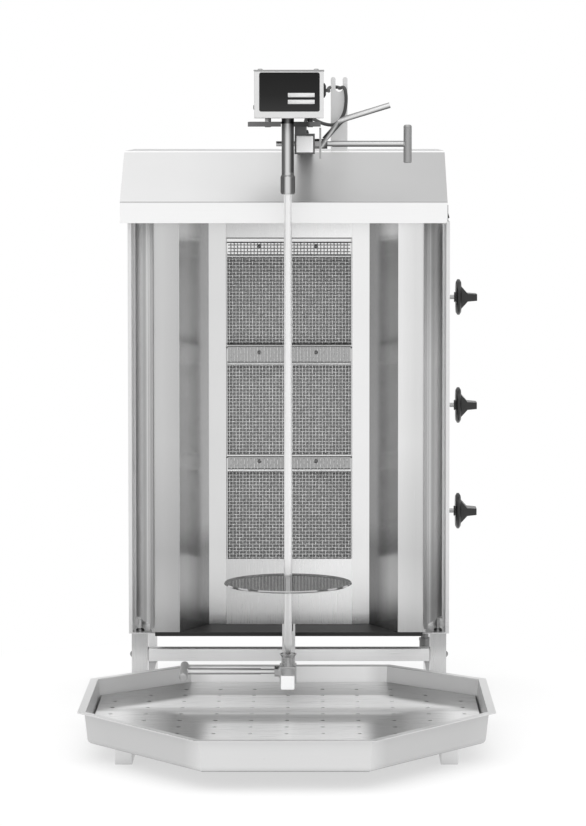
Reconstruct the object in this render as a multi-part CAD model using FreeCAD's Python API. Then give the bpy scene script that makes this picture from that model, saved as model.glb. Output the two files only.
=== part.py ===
"""Gas doner kebab grill: three radiant burners in a steel body, a spit driven from above, two hinged
side wings and a drip tray that slides out like a drawer.

Millimetres. X is to the right, Y goes back from the cook and Z is up from the floor. The origin is on
the floor at the middle of the object. Depths are named as distances behind the front posts' front face,
so a negative depth is ahead of the posts, and at() turns such a depth into Y.
"""
import FreeCAD, Part
import math
import os

Vec = FreeCAD.Vector
X_AXIS = Vec(1, 0, 0)
Y_AXIS = Vec(0, 1, 0)
Z_AXIS = Vec(0, 0, 1)

# Fits and gaps between pieces
running_gap = 0.05
sliding_gap = 0.1
loose_gap = 0.3
hole_gap = 0.25
seat_gap = 0.2

# Base frame: square tubes
frame_tube = 25.0
frame_wall = 1.5
frame_inset = 4.0
frame_depth = 325.0
rail_reach = 439.0
base_height = 121.0
post_plug = 14.0
cross_tube = 20.0
cross_wall = 1.5
cross_end_wall = 3.0
cross_underside = 75.5
bolt_radius = 2.5
bolt_head_radius = 5.0
bolt_head_height = 3.5
bolt_shank = 33.0

# Body sheets
sheet = 1.5
body_half_width = 249.0
body_top = 762.0
side_front_depth = -10.0
side_hem = 6.0
side_top_flange = 20.0
pan_height = 6.0
pan_inset = 42.0
pan_front_depth = -36.0
top_gap = 0.5

# Reflector columns and the panel round the burners
burner_depth = 47.0
column_inset = 38.0
column_front = 42.4
strip_width = 27.2
opening_half_width = 98.5
opening_bottom = 230.0
panel_overlap = 22.0

# Burners, one above the other
burner_count = 3
burner_top_margin = 26.7
burner_bottom = 217.6
burner_seam = 2.0
burner_housing_depth = 45.0
burner_wall = 1.2
burner_band = 20.0
burner_lip = 3.0
burner_side_gap = 0.5
mesh_recess = 1.0
mesh_thickness = 1.0
plaque_recess = 13.0
plaque_thickness = 12.0

# Gas train on the right side
valve_depth = 145.0
knob_heights = (294.5, 464.0, 636.5)
manifold_inset = 33.0
manifold_radius = 9.0
manifold_top_margin = 20.0
valve_radius = 12.0
valve_neck_radius = 6.0
valve_neck_reach = 2.0
core_radius = 4.85
core_length = 16.0
core_start = 11.0
spindle_radius = 3.5
knob_travel = 4.0
feed_radius = 4.0
feed_bend = 20.0
feed_drop = 10.0
inlet_radius = 8.3
inlet_length = 54.5
inlet_thread_length = 18.0
inlet_neck_radius = 6.0
inlet_collar_radius = 9.0
inlet_collar_height = 4.0
inlet_nut_height = 5.0

# Knobs
knob_hub_gap = 13.0
knob_hub_radius = 8.0
knob_hub_length = 2.6
knob_skirt_thickness = 8.4
knob_skirt_radius = 28.5
knob_grip_reach = 25.0
knob_grip_thickness = 12.5
knob_grip_length = 46.0
knob_bore_depth = 18.0

# Hood
hood_shift = 7.0
hood_front_depth = -92.0
fascia_height = 32.0
ridge_depth = 34.0
hood_top = 870.0
hood_flange = 20.0
hood_flange_front = -5.0
fascia_corner = 5.0

# Rocker switch on the hood's right end
switch_depth = -40.0
switch_height = 776.0
switch_length = 18.0
switch_width = 10.0
switch_tilt = 8.0
bezel_rim = 2.2
bezel_thickness = 2.6
bezel_depth = 12.0
rocker_pin = 1.2

# Vent slots in the back panel
vent_count = 6
vent_length = 120.0
vent_width = 6.0
vent_pitch = 22.0
vent_bottom = 600.0

# Side wings on vertical pins
wing_pin_depth = 12.0
wing_pin_radius = 2.5
wing_ahead = 68.0
wing_behind = 22.0
wing_toe_in = 16.4
wing_underside = 142.0
wing_return_drop = 7.5
wing_return = 8.0
wing_return_turn = 118.6
wing_tab = 7.0
bush_radius = 6.5
bush_height = 4.0

# Spit and its drive
spit_depth = -175.0
spit_radius = 6.0
spit_engaged = 23.0
spit_point = 11.0
spit_taper = 18.0
spit_tip_radius = 2.0
disc_height = 222.0
disc_radius = 96.0
disc_thickness = 2.0
disc_rim = 4.0
collar_radius = 7.3
collar_below = 11.0
collar_above = 15.0
drive_radius = 9.25
drive_reach = 79.0
coupling_radius = 11.0
coupling_length = 29.0
drive_socket = 82.0
drive_spigot_radius = 5.0
drive_spigot = 20.0

# Upper arm, carriage and motor
arm_x = 25.0
arm_tube = 25.0
arm_wall = 2.0
arm_front_depth = -140.0
arm_length = 390.0
cap_thickness = 2.5
cap_plug = 10.0
carriage_front_depth = -130.0
carriage_length = 70.0
slide_wall = 2.5
neck_left = 10.0
neck_right = 27.0
plate_left = -58.5
plate_right = 49.0
plate_front_depth = -235.0
plate_rear_depth = -60.0
plate_rise = 21.0
plate_thickness = 3.0
plate_flange = 7.0
standoff = 5.3
standoff_radius = 4.0
standoff_nut = 5.0
standoff_x = 31.5
standoff_inset = 15.0
box_centre_x = 2.0
box_width = 102.6
box_depth = 110.0
box_height = 69.7
lid_thickness = 2.0
lid_overhang = 0.8
motor_width = 64.0
motor_length = 86.0
motor_height = 46.0

# Clamp screws and their T-handles
screw_radius = 3.9
shaft_radius = 4.6
nut_radius = 8.0
nut_length = 6.5
washer_radius = 9.5
washer_thickness = 1.5
boss_radius = 7.6
boss_length = 6.7
handle_radius = 6.25
handle_length = 58.0
upper_handle_x = 181.0
upper_stub_end = 66.5
stay_plate = 3.0
stay_width = 16.0
stay_above = 24.5
stay_below = 22.5
stud_reach = 28.0
lever_boss = 9.0
lever_radius = 4.3
lever_foot_rise = 6.5
lever_knee_reach = 26.7
lever_knee_rise = 36.5
lever_tip_reach = 99.2
lever_tip_rise = 58.5
lever_bend = 26.0

# Lower arm and the slider with the cup
lower_arm_tube = 20.0
lower_arm_front_depth = -250.0
lower_slide_wall = 2.2
slider_front_depth = -187.0
slider_length = 40.0
cup_radius = 10.0
cup_rim_radius = 12.7
cup_height = 19.0
cup_flare = 5.0
cup_bore = 8.0
cup_floor = 2.7
clamp_rise = 3.0
lower_handle_x = -157.0
lower_stub_end = -41.5
lower_handle_tilt = 9.5
rest_depth = -60.0
rest_height = 48.5
rest_thickness = 3.0
rest_notch_depth = 12.0
rest_notch_width = 14.0

# Drip tray and its perforated plate
tray_reach = 637.0
tray_back_depth = -7.0
tray_half_width = 300.0
tray_back_half = 157.0
tray_front_half = 124.0
tray_side_back_depth = -135.0
tray_side_front_depth = -419.0
tray_lift = 0.5
tray_rim = 72.0
tray_lip = 10.0
tray_taper = 5.0
tray_bend = 8.0
grate_height = 47.5
grate_gap = 6.0
grate_hole = 3.5
grate_pitch = 52.0
grate_columns = 11
grate_rows = 11
grate_first_row = -37.0
grate_edge = 14.0
grate_leg_x = 245.0

# Fork post on the hood, which holds the motor lead
fork_x = 78.0
fork_width = 26.0
fork_depth = 36.0
fork_height = 115.0
fork_sheet = 2.0
fork_foot = 20.0
notch_width = 11.0
notch_length = 23.0

# Motor lead, grommet and gland
lead_radius = 2.7
lead_stub = 8.0
lead_beside = 1.0
lead_behind = 12.0
lead_over = 7.5
lead_swing = 9.5
lead_ahead = 33.0
lead_dip = 14.5
grommet_radius = 11.0
grommet_thickness = 3.8
grommet_set_back = 80.0
grommet_rise = 41.7
gland_radius = 6.0
gland_height = 8.0
gland_depth = 45.0
lead_bends = (5.4, 60.0, 8.0, 8.0, 20.0, 11.5, 34.0, 24.0, 20.0, 34.0, 20.0, 6.0)

# Values that follow from the sizes above
post_y = (tray_reach - frame_depth) / 2
fascia_top = body_top + fascia_height
pan_top = base_height + pan_height
panel_top = body_top - top_gap
burner_pitch = (panel_top - burner_top_margin - burner_bottom) / burner_count
cross_middle = cross_underside + cross_tube / 2
arm_middle = hood_top + arm_tube / 2
carriage_middle = carriage_front_depth + carriage_length / 2
slider_middle = slider_front_depth + slider_length / 2
clamp_height = cross_middle + clamp_rise
side_inner = body_half_width - sheet
frame_half_width = body_half_width - frame_inset
column_outer = body_half_width - column_inset
pan_half_width = body_half_width - pan_inset
column_inner = column_outer - column_front
splay_inner = opening_half_width + strip_width
panel_half_width = opening_half_width + panel_overlap
burner_front = burner_depth + 2 * sheet + seat_gap
plaque_rear = burner_front + burner_wall + plaque_recess + plaque_thickness
feed_depth = plaque_rear + feed_drop
manifold_x = body_half_width - manifold_inset
knob_hub_start = body_half_width + knob_hub_gap
knob_skirt_start = knob_hub_start + knob_hub_length
knob_skirt_end = knob_skirt_start + knob_skirt_thickness
knob_end = knob_skirt_end + knob_grip_reach
hood_left = -body_half_width - hood_shift
hood_right = body_half_width - hood_shift
wing_pin_x = frame_half_width - frame_tube / 2 - running_gap * 2
post_inner = frame_half_width - frame_tube
plate_top = hood_top + arm_tube + plate_rise
stay_top = arm_middle + stay_above
stay_bottom = arm_middle - stay_below
fork_top = hood_top + fork_height
box_bottom = plate_top + standoff
box_left = box_centre_x - box_width / 2
box_right = box_centre_x + box_width / 2
box_front = spit_depth - box_depth / 2
grommet_depth = box_front + grommet_set_back
grommet_height = box_bottom + grommet_rise
drive_bottom = plate_top - drive_reach
spit_top = drive_bottom + spit_engaged
tray_floor = frame_tube + tray_lift


def at(depth):
    """Y of a depth behind the front posts' front face."""
    return post_y + depth


def box(x0, x1, d0, d1, z0, z1):
    """Block between two X, two depths and two heights."""
    return Part.makeBox(x1 - x0, d1 - d0, z1 - z0, Vec(x0, at(d0), z0))


def rod(radius, length, x, depth, z, axis=Z_AXIS):
    """Round bar that starts at a point and runs along an axis."""
    return Part.makeCylinder(radius, length, Vec(x, at(depth), z), axis)


def hexagon(radius, length, x, depth, z, axis):
    """Hexagonal nut with its corners at a radius, from a point along an axis."""
    corners = [Vec(radius * math.cos(math.radians(60 * i)), radius * math.sin(math.radians(60 * i)), 0)
               for i in range(6)]
    nut = Part.Face(Part.makePolygon(corners + corners[:1])).extrude(Vec(0, 0, length))
    nut.Placement = FreeCAD.Placement(Vec(x, at(depth), z), FreeCAD.Rotation(Z_AXIS, axis))
    return nut


def prism(points, z0, z1):
    """Upright prism over a polygon of (X, depth) points."""
    corners = [Vec(x, at(d), z0) for x, d in points]
    face = Part.Face(Part.makePolygon(corners + corners[:1]))
    return face.extrude(Vec(0, 0, z1 - z0))


def side_prism(points, x0, x1):
    """Prism along X over a polygon of (depth, Z) points."""
    corners = [Vec(x0, at(d), z) for d, z in points]
    face = Part.Face(Part.makePolygon(corners + corners[:1]))
    return face.extrude(Vec(x1 - x0, 0, 0))


def turned(profile, x, depth, z, axis=Z_AXIS):
    """Body of revolution: profile is (radius, distance along the axis) points, closed on the axis."""
    corners = [Vec(r, 0, h) for r, h in profile]
    face = Part.Face(Part.makePolygon(corners + corners[:1]))
    solid = face.revolve(Vec(0, 0, 0), Z_AXIS, 360)
    solid.rotate(Vec(0, 0, 0), Z_AXIS.cross(axis) if axis != Z_AXIS else Z_AXIS,
                 math.degrees(Z_AXIS.getAngle(axis)))
    solid.translate(Vec(x, at(depth), z))
    return solid


def fused(shapes):
    """One solid from pieces that are welded together."""
    whole = shapes[0]
    for shape in shapes[1:]:
        whole = whole.fuse(shape)
    return whole.removeSplitter()


def mirrored(shape):
    """Copy on the other side of the middle plane."""
    return shape.mirror(Vec(0, 0, 0), X_AXIS)


def offset_line(points, distance):
    """Polyline moved sideways to its right by a distance, with mitred corners."""
    moved = []
    for i, (x, y) in enumerate(points):
        normals = []
        for a, b in ((i - 1, i), (i, i + 1)):
            if a >= 0 and b < len(points):
                dx = points[b][0] - points[a][0]
                dy = points[b][1] - points[a][1]
                size = math.hypot(dx, dy)
                normals.append((dy / size, -dx / size))
        nx = sum(n[0] for n in normals)
        ny = sum(n[1] for n in normals)
        scale = distance * len(normals) / (nx * nx + ny * ny)
        moved.append((x + nx * scale, y + ny * scale))
    return moved


def folded(points, thickness, z0, z1):
    """Upright folded sheet whose left face follows the points and whose thickness is to their right."""
    return prism(list(points) + offset_line(points, thickness)[::-1], z0, z1)


def polygon_inset(points, distance):
    """Closed polygon, corners given clockwise from above, drawn in by a distance."""
    ring = [points[-1]] + list(points) + [points[0]]
    return offset_line(ring, distance)[1:-1]


def round_path(points, radii):
    """Wire of straight runs joined by tangent arcs, one radius for each inner corner."""
    edges = []
    last = Vec(*points[0])
    for i in range(1, len(points) - 1):
        corner = Vec(*points[i])
        back = (Vec(*points[i - 1]) - corner).normalize()
        ahead = (Vec(*points[i + 1]) - corner).normalize()
        half = back.getAngle(ahead) / 2
        reach = radii[i - 1] / math.tan(half)
        start = corner + back * reach
        end = corner + ahead * reach
        inward = (back + ahead).normalize()
        middle = corner + inward * (radii[i - 1] / math.sin(half) - radii[i - 1])
        if (start - last).Length > 1e-6:
            edges.append(Part.makeLine(last, start))
        edges.append(Part.Arc(start, middle, end).toShape())
        last = end
    edges.append(Part.makeLine(last, Vec(*points[-1])))
    return Part.Wire(edges)


def pipe(points, radii, radius):
    """Round bar or cable along a path of runs and arcs."""
    path = round_path(points, radii)
    first = (Vec(*points[1]) - Vec(*points[0])).normalize()
    ring = Part.Wire([Part.makeCircle(radius, Vec(*points[0]), first)])
    return path.makePipeShell([ring], True, False)


def square_tube_y(x, z, size, wall, d0, d1):
    """Square tube along Y, open at both ends."""
    half = size / 2
    inner = half - wall
    outside = box(x - half, x + half, d0, d1, z - half, z + half)
    return outside.cut(box(x - inner, x + inner, d0 - 1, d1 + 1, z - inner, z + inner))


# Base frame


def base_rail():
    """Floor rail on the right; its closed front end is the foot that shows under the tray."""
    x0, x1 = post_inner, frame_half_width
    outside = box(x0, x1, -rail_reach, frame_depth, 0, frame_tube)
    hollow = box(x0 + frame_wall, x1 - frame_wall, frame_wall - rail_reach, frame_depth + 1,
                 frame_wall, frame_tube - frame_wall)
    return outside.cut(hollow)


def post(d0, pin_hole):
    """Upright on the right, closed at the top by a plug that can take the wing's pin."""
    x0, x1 = post_inner, frame_half_width
    d1 = d0 + frame_tube
    tube = box(x0, x1, d0, d1, frame_tube, base_height)
    tube = tube.cut(box(x0 + frame_wall, x1 - frame_wall, d0 + frame_wall, d1 - frame_wall,
                        frame_tube - 1, base_height - post_plug))
    middle = (d0 + d1) / 2
    tube = tube.cut(rod(bolt_radius + hole_gap, frame_tube + 2, x0 - 1, middle, cross_middle, X_AXIS))
    if pin_hole:
        tube = tube.cut(rod(wing_pin_radius + running_gap, post_plug, wing_pin_x, wing_pin_depth,
                            base_height - post_plug + sheet))
    return tube


def crossbar(middle):
    """Hollow bar between two posts, with a hole for a bolt in each end wall."""
    half = cross_tube / 2
    inner = half - cross_wall
    bar = box(-post_inner, post_inner, middle - half, middle + half, cross_middle - half,
              cross_middle + half)
    reach = post_inner - cross_end_wall
    bar = bar.cut(box(-reach, reach, middle - inner, middle + inner, cross_middle - inner,
                      cross_middle + inner))
    hole = rod(bolt_radius + hole_gap, 2 * post_inner + 2, -post_inner - 1, middle, cross_middle, X_AXIS)
    return bar.cut(hole)


def frame_bolt(middle):
    """Dome-headed bolt through the right post into the crossbar's end."""
    dome_radius = (bolt_head_radius ** 2 + bolt_head_height ** 2) / (2 * bolt_head_height)
    centre = Vec(frame_half_width + bolt_head_height - dome_radius, at(middle), cross_middle)
    head = Part.makeSphere(dome_radius, centre)
    head = head.common(rod(bolt_head_radius + 1, bolt_head_height + 1, frame_half_width, middle,
                           cross_middle, X_AXIS))
    shank = rod(bolt_radius, bolt_shank, frame_half_width - bolt_shank, middle, cross_middle, X_AXIS)
    return head.fuse(shank)


def hinge_bush():
    """Flanged bush on the right post's top, round the wing's pin."""
    bore = wing_pin_radius + running_gap
    z = base_height + sheet
    return turned([(bore, 0), (bush_radius, 0), (bush_radius, bush_height / 2),
                   (bush_radius - 2, bush_height), (bore, bush_height)], wing_pin_x, wing_pin_depth, z)


# Body


def base_pan():
    """Shallow upside-down pan between the side flanges."""
    half = pan_half_width
    outside = box(-half, half, pan_front_depth, frame_depth - sheet, base_height, pan_top)
    hollow = box(sheet - half, half - sheet, pan_front_depth + sheet, frame_depth - 2 * sheet,
                 base_height - 1, pan_top - sheet)
    return outside.cut(hollow)


def side_panel(with_gas):
    """Right side sheet with a front hem and flanges at the bottom and top."""
    rear = frame_depth - sheet
    wall = box(side_inner, body_half_width, side_front_depth, rear, base_height, body_top)
    hem = box(body_half_width - side_hem, side_inner, side_front_depth, side_front_depth + sheet,
              base_height, body_top)
    foot = box(pan_half_width + loose_gap, side_inner, side_front_depth, rear, base_height,
               base_height + sheet)
    foot = foot.cut(rod(wing_pin_radius + hole_gap, 3 * sheet, wing_pin_x, wing_pin_depth,
                        base_height - sheet))
    top = box(side_inner - side_top_flange, side_inner, burner_depth + 2 * sheet, rear,
              body_top - sheet, body_top)
    if with_gas:
        foot = foot.cut(rod(inlet_neck_radius + hole_gap, 3 * sheet, manifold_x, valve_depth,
                            base_height - sheet))
        for z in knob_heights:
            wall = wall.cut(rod(valve_neck_radius + hole_gap, 3 * sheet, side_inner - sheet,
                                valve_depth, z, X_AXIS))
    return fused([wall, hem, foot, top])


def back_panel():
    """Flat rear sheet with a stack of vent slots with round ends."""
    plate = box(-body_half_width, body_half_width, frame_depth - sheet, frame_depth, base_height,
                body_top)
    straight = vent_length / 2 - vent_width / 2
    for i in range(vent_count):
        z = vent_bottom + i * vent_pitch
        slot = box(-straight, straight, frame_depth - 2 * sheet, frame_depth + sheet,
                   z - vent_width / 2, z + vent_width / 2)
        for x in (-straight, straight):
            slot = slot.fuse(rod(vent_width / 2, 3 * sheet, x, frame_depth - 2 * sheet, z, Y_AXIS))
        plate = plate.cut(slot)
    return plate


def reflector():
    """Right reflector: one sheet folded from the side, round the column and along the splay."""
    line = [(side_inner, burner_depth), (column_outer, burner_depth), (column_outer, pan_front_depth),
            (column_inner, pan_front_depth), (splay_inner, burner_depth),
            (opening_half_width, burner_depth)]
    upper = folded(line, sheet, pan_top, panel_top)
    slot_back = box(column_outer, side_inner, burner_depth, burner_depth + sheet,
                    base_height + sheet, pan_top)
    return fused([upper, slot_back])


def burner_panel():
    """Sheet behind the reflectors' inner edges, with one opening for the stack of burners."""
    d0 = burner_depth + sheet
    opening_top = burner_bottom + burner_count * burner_pitch
    plate = box(-panel_half_width, panel_half_width, d0, d0 + sheet, pan_top, panel_top)
    hole = box(-opening_half_width, opening_half_width, d0 - 1, d0 + sheet + 1, opening_bottom,
               opening_top)
    return plate.cut(hole)


def burner_span(index):
    """Bottom and top of one burner."""
    low = burner_bottom + index * burner_pitch + burner_seam / 2
    return low, low + burner_pitch - burner_seam


def burner_housing(index):
    """Box behind the panel, open to the front, with a cover band at its top and a lip at its foot."""
    low, high = burner_span(index)
    half = opening_half_width - burner_side_gap
    rear = burner_front + burner_housing_depth
    shell = box(-half, half, burner_front, rear, low, high)
    inner = half - burner_wall
    shell = shell.cut(box(-inner, inner, burner_front - 1, rear - burner_wall, low + burner_wall,
                          high - burner_wall))
    band = box(-inner, inner, burner_front, burner_front + burner_wall, high - burner_band,
               high - burner_wall)
    lip = box(-inner, inner, burner_front, burner_front + burner_wall, low + burner_wall,
              low + burner_lip)
    middle = (low + high) / 2
    port = rod(feed_radius + hole_gap, 3 * burner_wall, inner - burner_wall, feed_depth, middle, X_AXIS)
    return fused([shell, band, lip]).cut(port)


def burner_slab(index, recess, thickness):
    """Flat slab that fills a burner's field behind the lip: the plaque or the mesh."""
    low, high = burner_span(index)
    half = opening_half_width - burner_side_gap - burner_wall - seat_gap
    d0 = burner_front + burner_wall + recess
    return box(-half, half, d0, d0 + thickness, low + burner_wall + seat_gap,
               high - burner_wall - seat_gap)


# Gas train


def manifold():
    """Upright gas pipe behind the right reflector, closed at its top."""
    bottom = base_height + sheet
    top = max(knob_heights) + manifold_top_margin
    return rod(manifold_radius, top - bottom, manifold_x, valve_depth, bottom)


def gas_inlet():
    """Inlet that hangs under the body: neck with a lock nut, collar and the round male connection."""
    top = base_height + sheet
    bottom = top - inlet_length
    thread = rod(inlet_radius, inlet_thread_length, manifold_x, valve_depth, bottom)
    collar = rod(inlet_collar_radius, inlet_collar_height, manifold_x, valve_depth,
                 bottom + inlet_thread_length)
    neck = rod(inlet_neck_radius, inlet_length, manifold_x, valve_depth, bottom)
    nut = hexagon(inlet_neck_radius + 3, inlet_nut_height, manifold_x, valve_depth,
                  base_height - inlet_nut_height, Z_AXIS)
    return fused([thread, collar, neck, nut])


def gas_valve(z):
    """Valve body on the manifold, with a neck through the side panel and a stepped bore."""
    length = side_inner - manifold_x
    body = rod(valve_radius, length, manifold_x, valve_depth, z, X_AXIS)
    neck = rod(valve_neck_radius, sheet + valve_neck_reach, side_inner, valve_depth, z, X_AXIS)
    whole = body.fuse(neck)
    whole = whole.cut(rod(manifold_radius, 4 * valve_radius, manifold_x, valve_depth,
                          z - 2 * valve_radius))
    start = manifold_x + core_start
    core_hole = rod(core_radius + running_gap, core_length + 2 * loose_gap, start - loose_gap,
                    valve_depth, z, X_AXIS)
    spindle_hole = rod(spindle_radius + 2 * running_gap, length, start, valve_depth, z, X_AXIS)
    return whole.cut(core_hole).cut(spindle_hole)


def valve_core(z):
    """Turning core in the valve, bored for the spindle."""
    start = manifold_x + core_start
    core = rod(core_radius, core_length, start, valve_depth, z, X_AXIS)
    return core.cut(rod(spindle_radius + running_gap, core_length, start + 1, valve_depth, z, X_AXIS))


def spindle(z):
    """Steel shaft that is pushed in and turned with the knob."""
    start = manifold_x + core_start + 1 + knob_travel + loose_gap
    end = knob_hub_start + knob_bore_depth
    return rod(spindle_radius, end - start, start, valve_depth, z, X_AXIS)


def knob(z):
    """Black knob: hub, thin round skirt with a soft edge and a narrow grip that tapers outwards."""
    rounding = (knob_skirt_end - knob_skirt_start) / 2
    profile = [(0, 0), (knob_hub_radius, 0), (knob_hub_radius, knob_skirt_start - knob_hub_start),
               (knob_skirt_radius - rounding, knob_skirt_start - knob_hub_start),
               (knob_skirt_radius, knob_skirt_start - knob_hub_start + rounding * 0.6),
               (knob_skirt_radius, knob_skirt_start - knob_hub_start + rounding * 1.4),
               (knob_skirt_radius - rounding, knob_skirt_end - knob_hub_start),
               (0, knob_skirt_end - knob_hub_start + 1.5)]
    skirt = turned(profile, knob_hub_start, valve_depth, z, X_AXIS)
    foot = knob_grip_thickness * 1.5
    waist = knob_skirt_end + (knob_end - knob_skirt_end) * 0.4
    half = knob_grip_length / 2
    outline = [(knob_skirt_end - 1, -foot), (waist, -knob_grip_thickness / 2),
               (knob_end, -knob_grip_thickness / 2.4), (knob_end, knob_grip_thickness / 2.4),
               (waist, knob_grip_thickness / 2), (knob_skirt_end - 1, foot)]
    corners = [Vec(x, at(valve_depth) - half, z + dz) for x, dz in outline]
    grip = Part.Face(Part.makePolygon(corners + corners[:1])).extrude(Vec(0, 2 * half, 0))
    grip = grip.common(turned([(0, 0), (half + 2, 0), (half - 6, knob_end - knob_skirt_end + 1),
                               (0, knob_end - knob_skirt_end + 1)],
                              knob_skirt_end - 1, valve_depth, z, X_AXIS))
    whole = skirt.fuse(grip).removeSplitter()
    return whole.cut(rod(spindle_radius, knob_bore_depth, knob_hub_start, valve_depth, z, X_AXIS))


def feed_pipe(index):
    """Pipe from a valve's front side to its burner, with one bend behind the reflector."""
    z = knob_heights[index]
    low, high = burner_span(index)
    port = (low + high) / 2
    x = manifold_x + valve_radius + 2 * feed_radius
    start = valve_depth - valve_radius / 2
    end = opening_half_width - burner_side_gap
    body = rod(valve_radius, side_inner - manifold_x, manifold_x, valve_depth, z, X_AXIS)
    turn_x = (end + x) / 2 - 10
    points = [(x, at(start), z), (x, at(feed_depth), z), (turn_x, at(feed_depth), z),
              (turn_x, at(feed_depth), port), (end, at(feed_depth), port)]
    if abs(port - z) < 2 * feed_bend:
        points = [points[0], points[1], (end + 12, at(feed_depth), port), points[4]]
        return pipe(points, (feed_bend, feed_bend), feed_radius).cut(body)
    return pipe(points, (feed_bend, feed_bend, feed_bend), feed_radius).cut(body)


# Hood and switch


def hood():
    """Sheet hood: low fascia, sloping front and flat top, with flanges that rest on the side panels."""
    line = [(hood_front_depth, body_top), (hood_front_depth, fascia_top), (ridge_depth, hood_top),
            (frame_depth, hood_top), (frame_depth, body_top)]
    inner = offset_line(line, sheet)
    inner[0] = (inner[0][0], body_top - 1)
    inner[-1] = (inner[-1][0], body_top - 1)
    shell = side_prism(line, hood_left, hood_right)
    shell = shell.cut(side_prism(inner, hood_left + sheet, hood_right - sheet))
    for x, side in ((hood_left, 1), (hood_right, -1)):
        edge = box(min(x, x + side * fascia_corner), max(x, x + side * fascia_corner),
                   hood_front_depth - 1, hood_front_depth + 2 * sheet, body_top,
                   body_top + fascia_corner)
        edge = edge.cut(rod(fascia_corner, 4 * sheet, x + side * fascia_corner, hood_front_depth - 1,
                            body_top + fascia_corner, Y_AXIS))
        shell = shell.cut(edge)
    rear = frame_depth - sheet
    flange_inner = side_inner - side_top_flange - 4
    left = box(hood_left + sheet, -flange_inner, hood_flange_front, rear, body_top, body_top + sheet)
    right = box(flange_inner, hood_right - sheet, hood_flange_front, rear, body_top, body_top + sheet)
    shell = fused([shell, left, right])
    for x in (-wing_pin_x, wing_pin_x):
        shell = shell.cut(rod(wing_pin_radius + running_gap, 3 * sheet, x, wing_pin_depth,
                              body_top - sheet))
    half_y = switch_width / 2 + bezel_rim + seat_gap
    half_z = switch_length / 2 + bezel_rim + seat_gap
    shell = shell.cut(box(hood_right - 2 * sheet, hood_right + sheet, switch_depth - half_y,
                          switch_depth + half_y, switch_height - half_z, switch_height + half_z))
    gland_hole = rod(gland_radius, 3 * sheet, arm_x, gland_depth, hood_top - 2 * sheet)
    return shell.cut(gland_hole)


def switch_bezel():
    """Frame in the hood's end, with a rim outside and bearing holes for the rocker."""
    half_y = switch_width / 2 + bezel_rim
    half_z = switch_length / 2 + bezel_rim
    rim = box(hood_right, hood_right + bezel_thickness, switch_depth - half_y - 1,
              switch_depth + half_y + 1, switch_height - half_z - 1, switch_height + half_z + 1)
    shell = box(hood_right - bezel_depth, hood_right, switch_depth - half_y, switch_depth + half_y,
                switch_height - half_z, switch_height + half_z)
    inner_y = switch_width / 2 + loose_gap
    inner_z = switch_length / 2 + loose_gap
    hollow = box(hood_right - bezel_depth + 2, hood_right + bezel_thickness + 1,
                 switch_depth - inner_y, switch_depth + inner_y, switch_height - inner_z,
                 switch_height + inner_z)
    pins = rod(rocker_pin + running_gap, 2 * half_y - 1, hood_right - sheet,
               switch_depth - half_y + 0.5, switch_height, Y_AXIS)
    return rim.fuse(shell).cut(hollow).cut(pins).removeSplitter()


def switch_rocker():
    """Rocker with a shallow V front on a cross pin, resting with its lower half proud."""
    half = switch_length / 2 - 2 * loose_gap
    pivot_x = hood_right - sheet
    outline = [(-3.0, -half + 3), (2.0, -half), (5.2, -half), (4.2, 0.0), (5.2, half), (2.0, half),
               (-3.0, half - 3)]
    corners = [Vec(pivot_x + x, at(switch_depth) - switch_width / 2, switch_height + z)
               for x, z in outline]
    body = Part.Face(Part.makePolygon(corners + corners[:1])).extrude(Vec(0, switch_width, 0))
    reach = switch_width / 2 + bezel_rim - 1
    pin = rod(rocker_pin, 2 * reach, pivot_x, switch_depth - reach, switch_height, Y_AXIS)
    whole = body.fuse(pin).removeSplitter()
    whole.rotate(Vec(pivot_x, at(switch_depth), switch_height), Y_AXIS, -switch_tilt)
    return whole


# Side wings


def wing():
    """Right wing: flat leaf toed in, a narrow return along its front edge and a pin at each end."""
    toe = math.radians(wing_toe_in)
    ahead = (-math.sin(toe), -math.cos(toe))
    rear = (wing_pin_x - ahead[0] * wing_behind, wing_pin_depth - ahead[1] * wing_behind)
    front = (wing_pin_x + ahead[0] * wing_ahead, wing_pin_depth + ahead[1] * wing_ahead)
    turn = toe + math.radians(wing_return_turn)
    tip = (front[0] - math.sin(turn) * wing_return, front[1] - math.cos(turn) * wing_return)
    shift = sheet / 2
    leaf = folded([rear, front], sheet, wing_underside, panel_top)
    leaf.translate(Vec(shift * math.cos(toe), -shift * math.sin(toe), 0))
    edge = folded([front, tip], sheet, wing_underside - wing_return_drop, panel_top)
    edge.translate(Vec(shift * math.cos(toe), -shift * math.sin(toe), 0))
    pieces = [leaf, edge]
    for z in (wing_underside, panel_top - sheet):
        pieces.append(rod(wing_tab, sheet, wing_pin_x, wing_pin_depth, z))
    bottom = base_height - post_plug + sheet + loose_gap
    pieces.append(rod(wing_pin_radius, wing_underside - bottom, wing_pin_x, wing_pin_depth, bottom))
    top = body_top + sheet + 4
    pieces.append(rod(wing_pin_radius, top - panel_top, wing_pin_x, wing_pin_depth, panel_top))
    return fused(pieces)


# Upper arm, carriage and motor


def upper_arm():
    """Square tube on the hood's flat top, with holes where the motor lead goes in and down."""
    tube = square_tube_y(arm_x, arm_middle, arm_tube, arm_wall, arm_front_depth,
                         arm_front_depth + arm_length)
    hole = rod(lead_radius + hole_gap, arm_tube + 2, arm_x, gland_depth, hood_top - 1)
    return tube.cut(hole)


def end_cap(x, z, size, wall, depth):
    """Plastic cap in the front end of a square tube."""
    half = size / 2
    inner = half - wall - seat_gap
    face = box(x - half, x + half, depth - cap_thickness, depth, z - half, z + half)
    plug = box(x - inner, x + inner, depth, depth + cap_plug, z - inner, z + inner)
    return face.fuse(plug)


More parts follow.
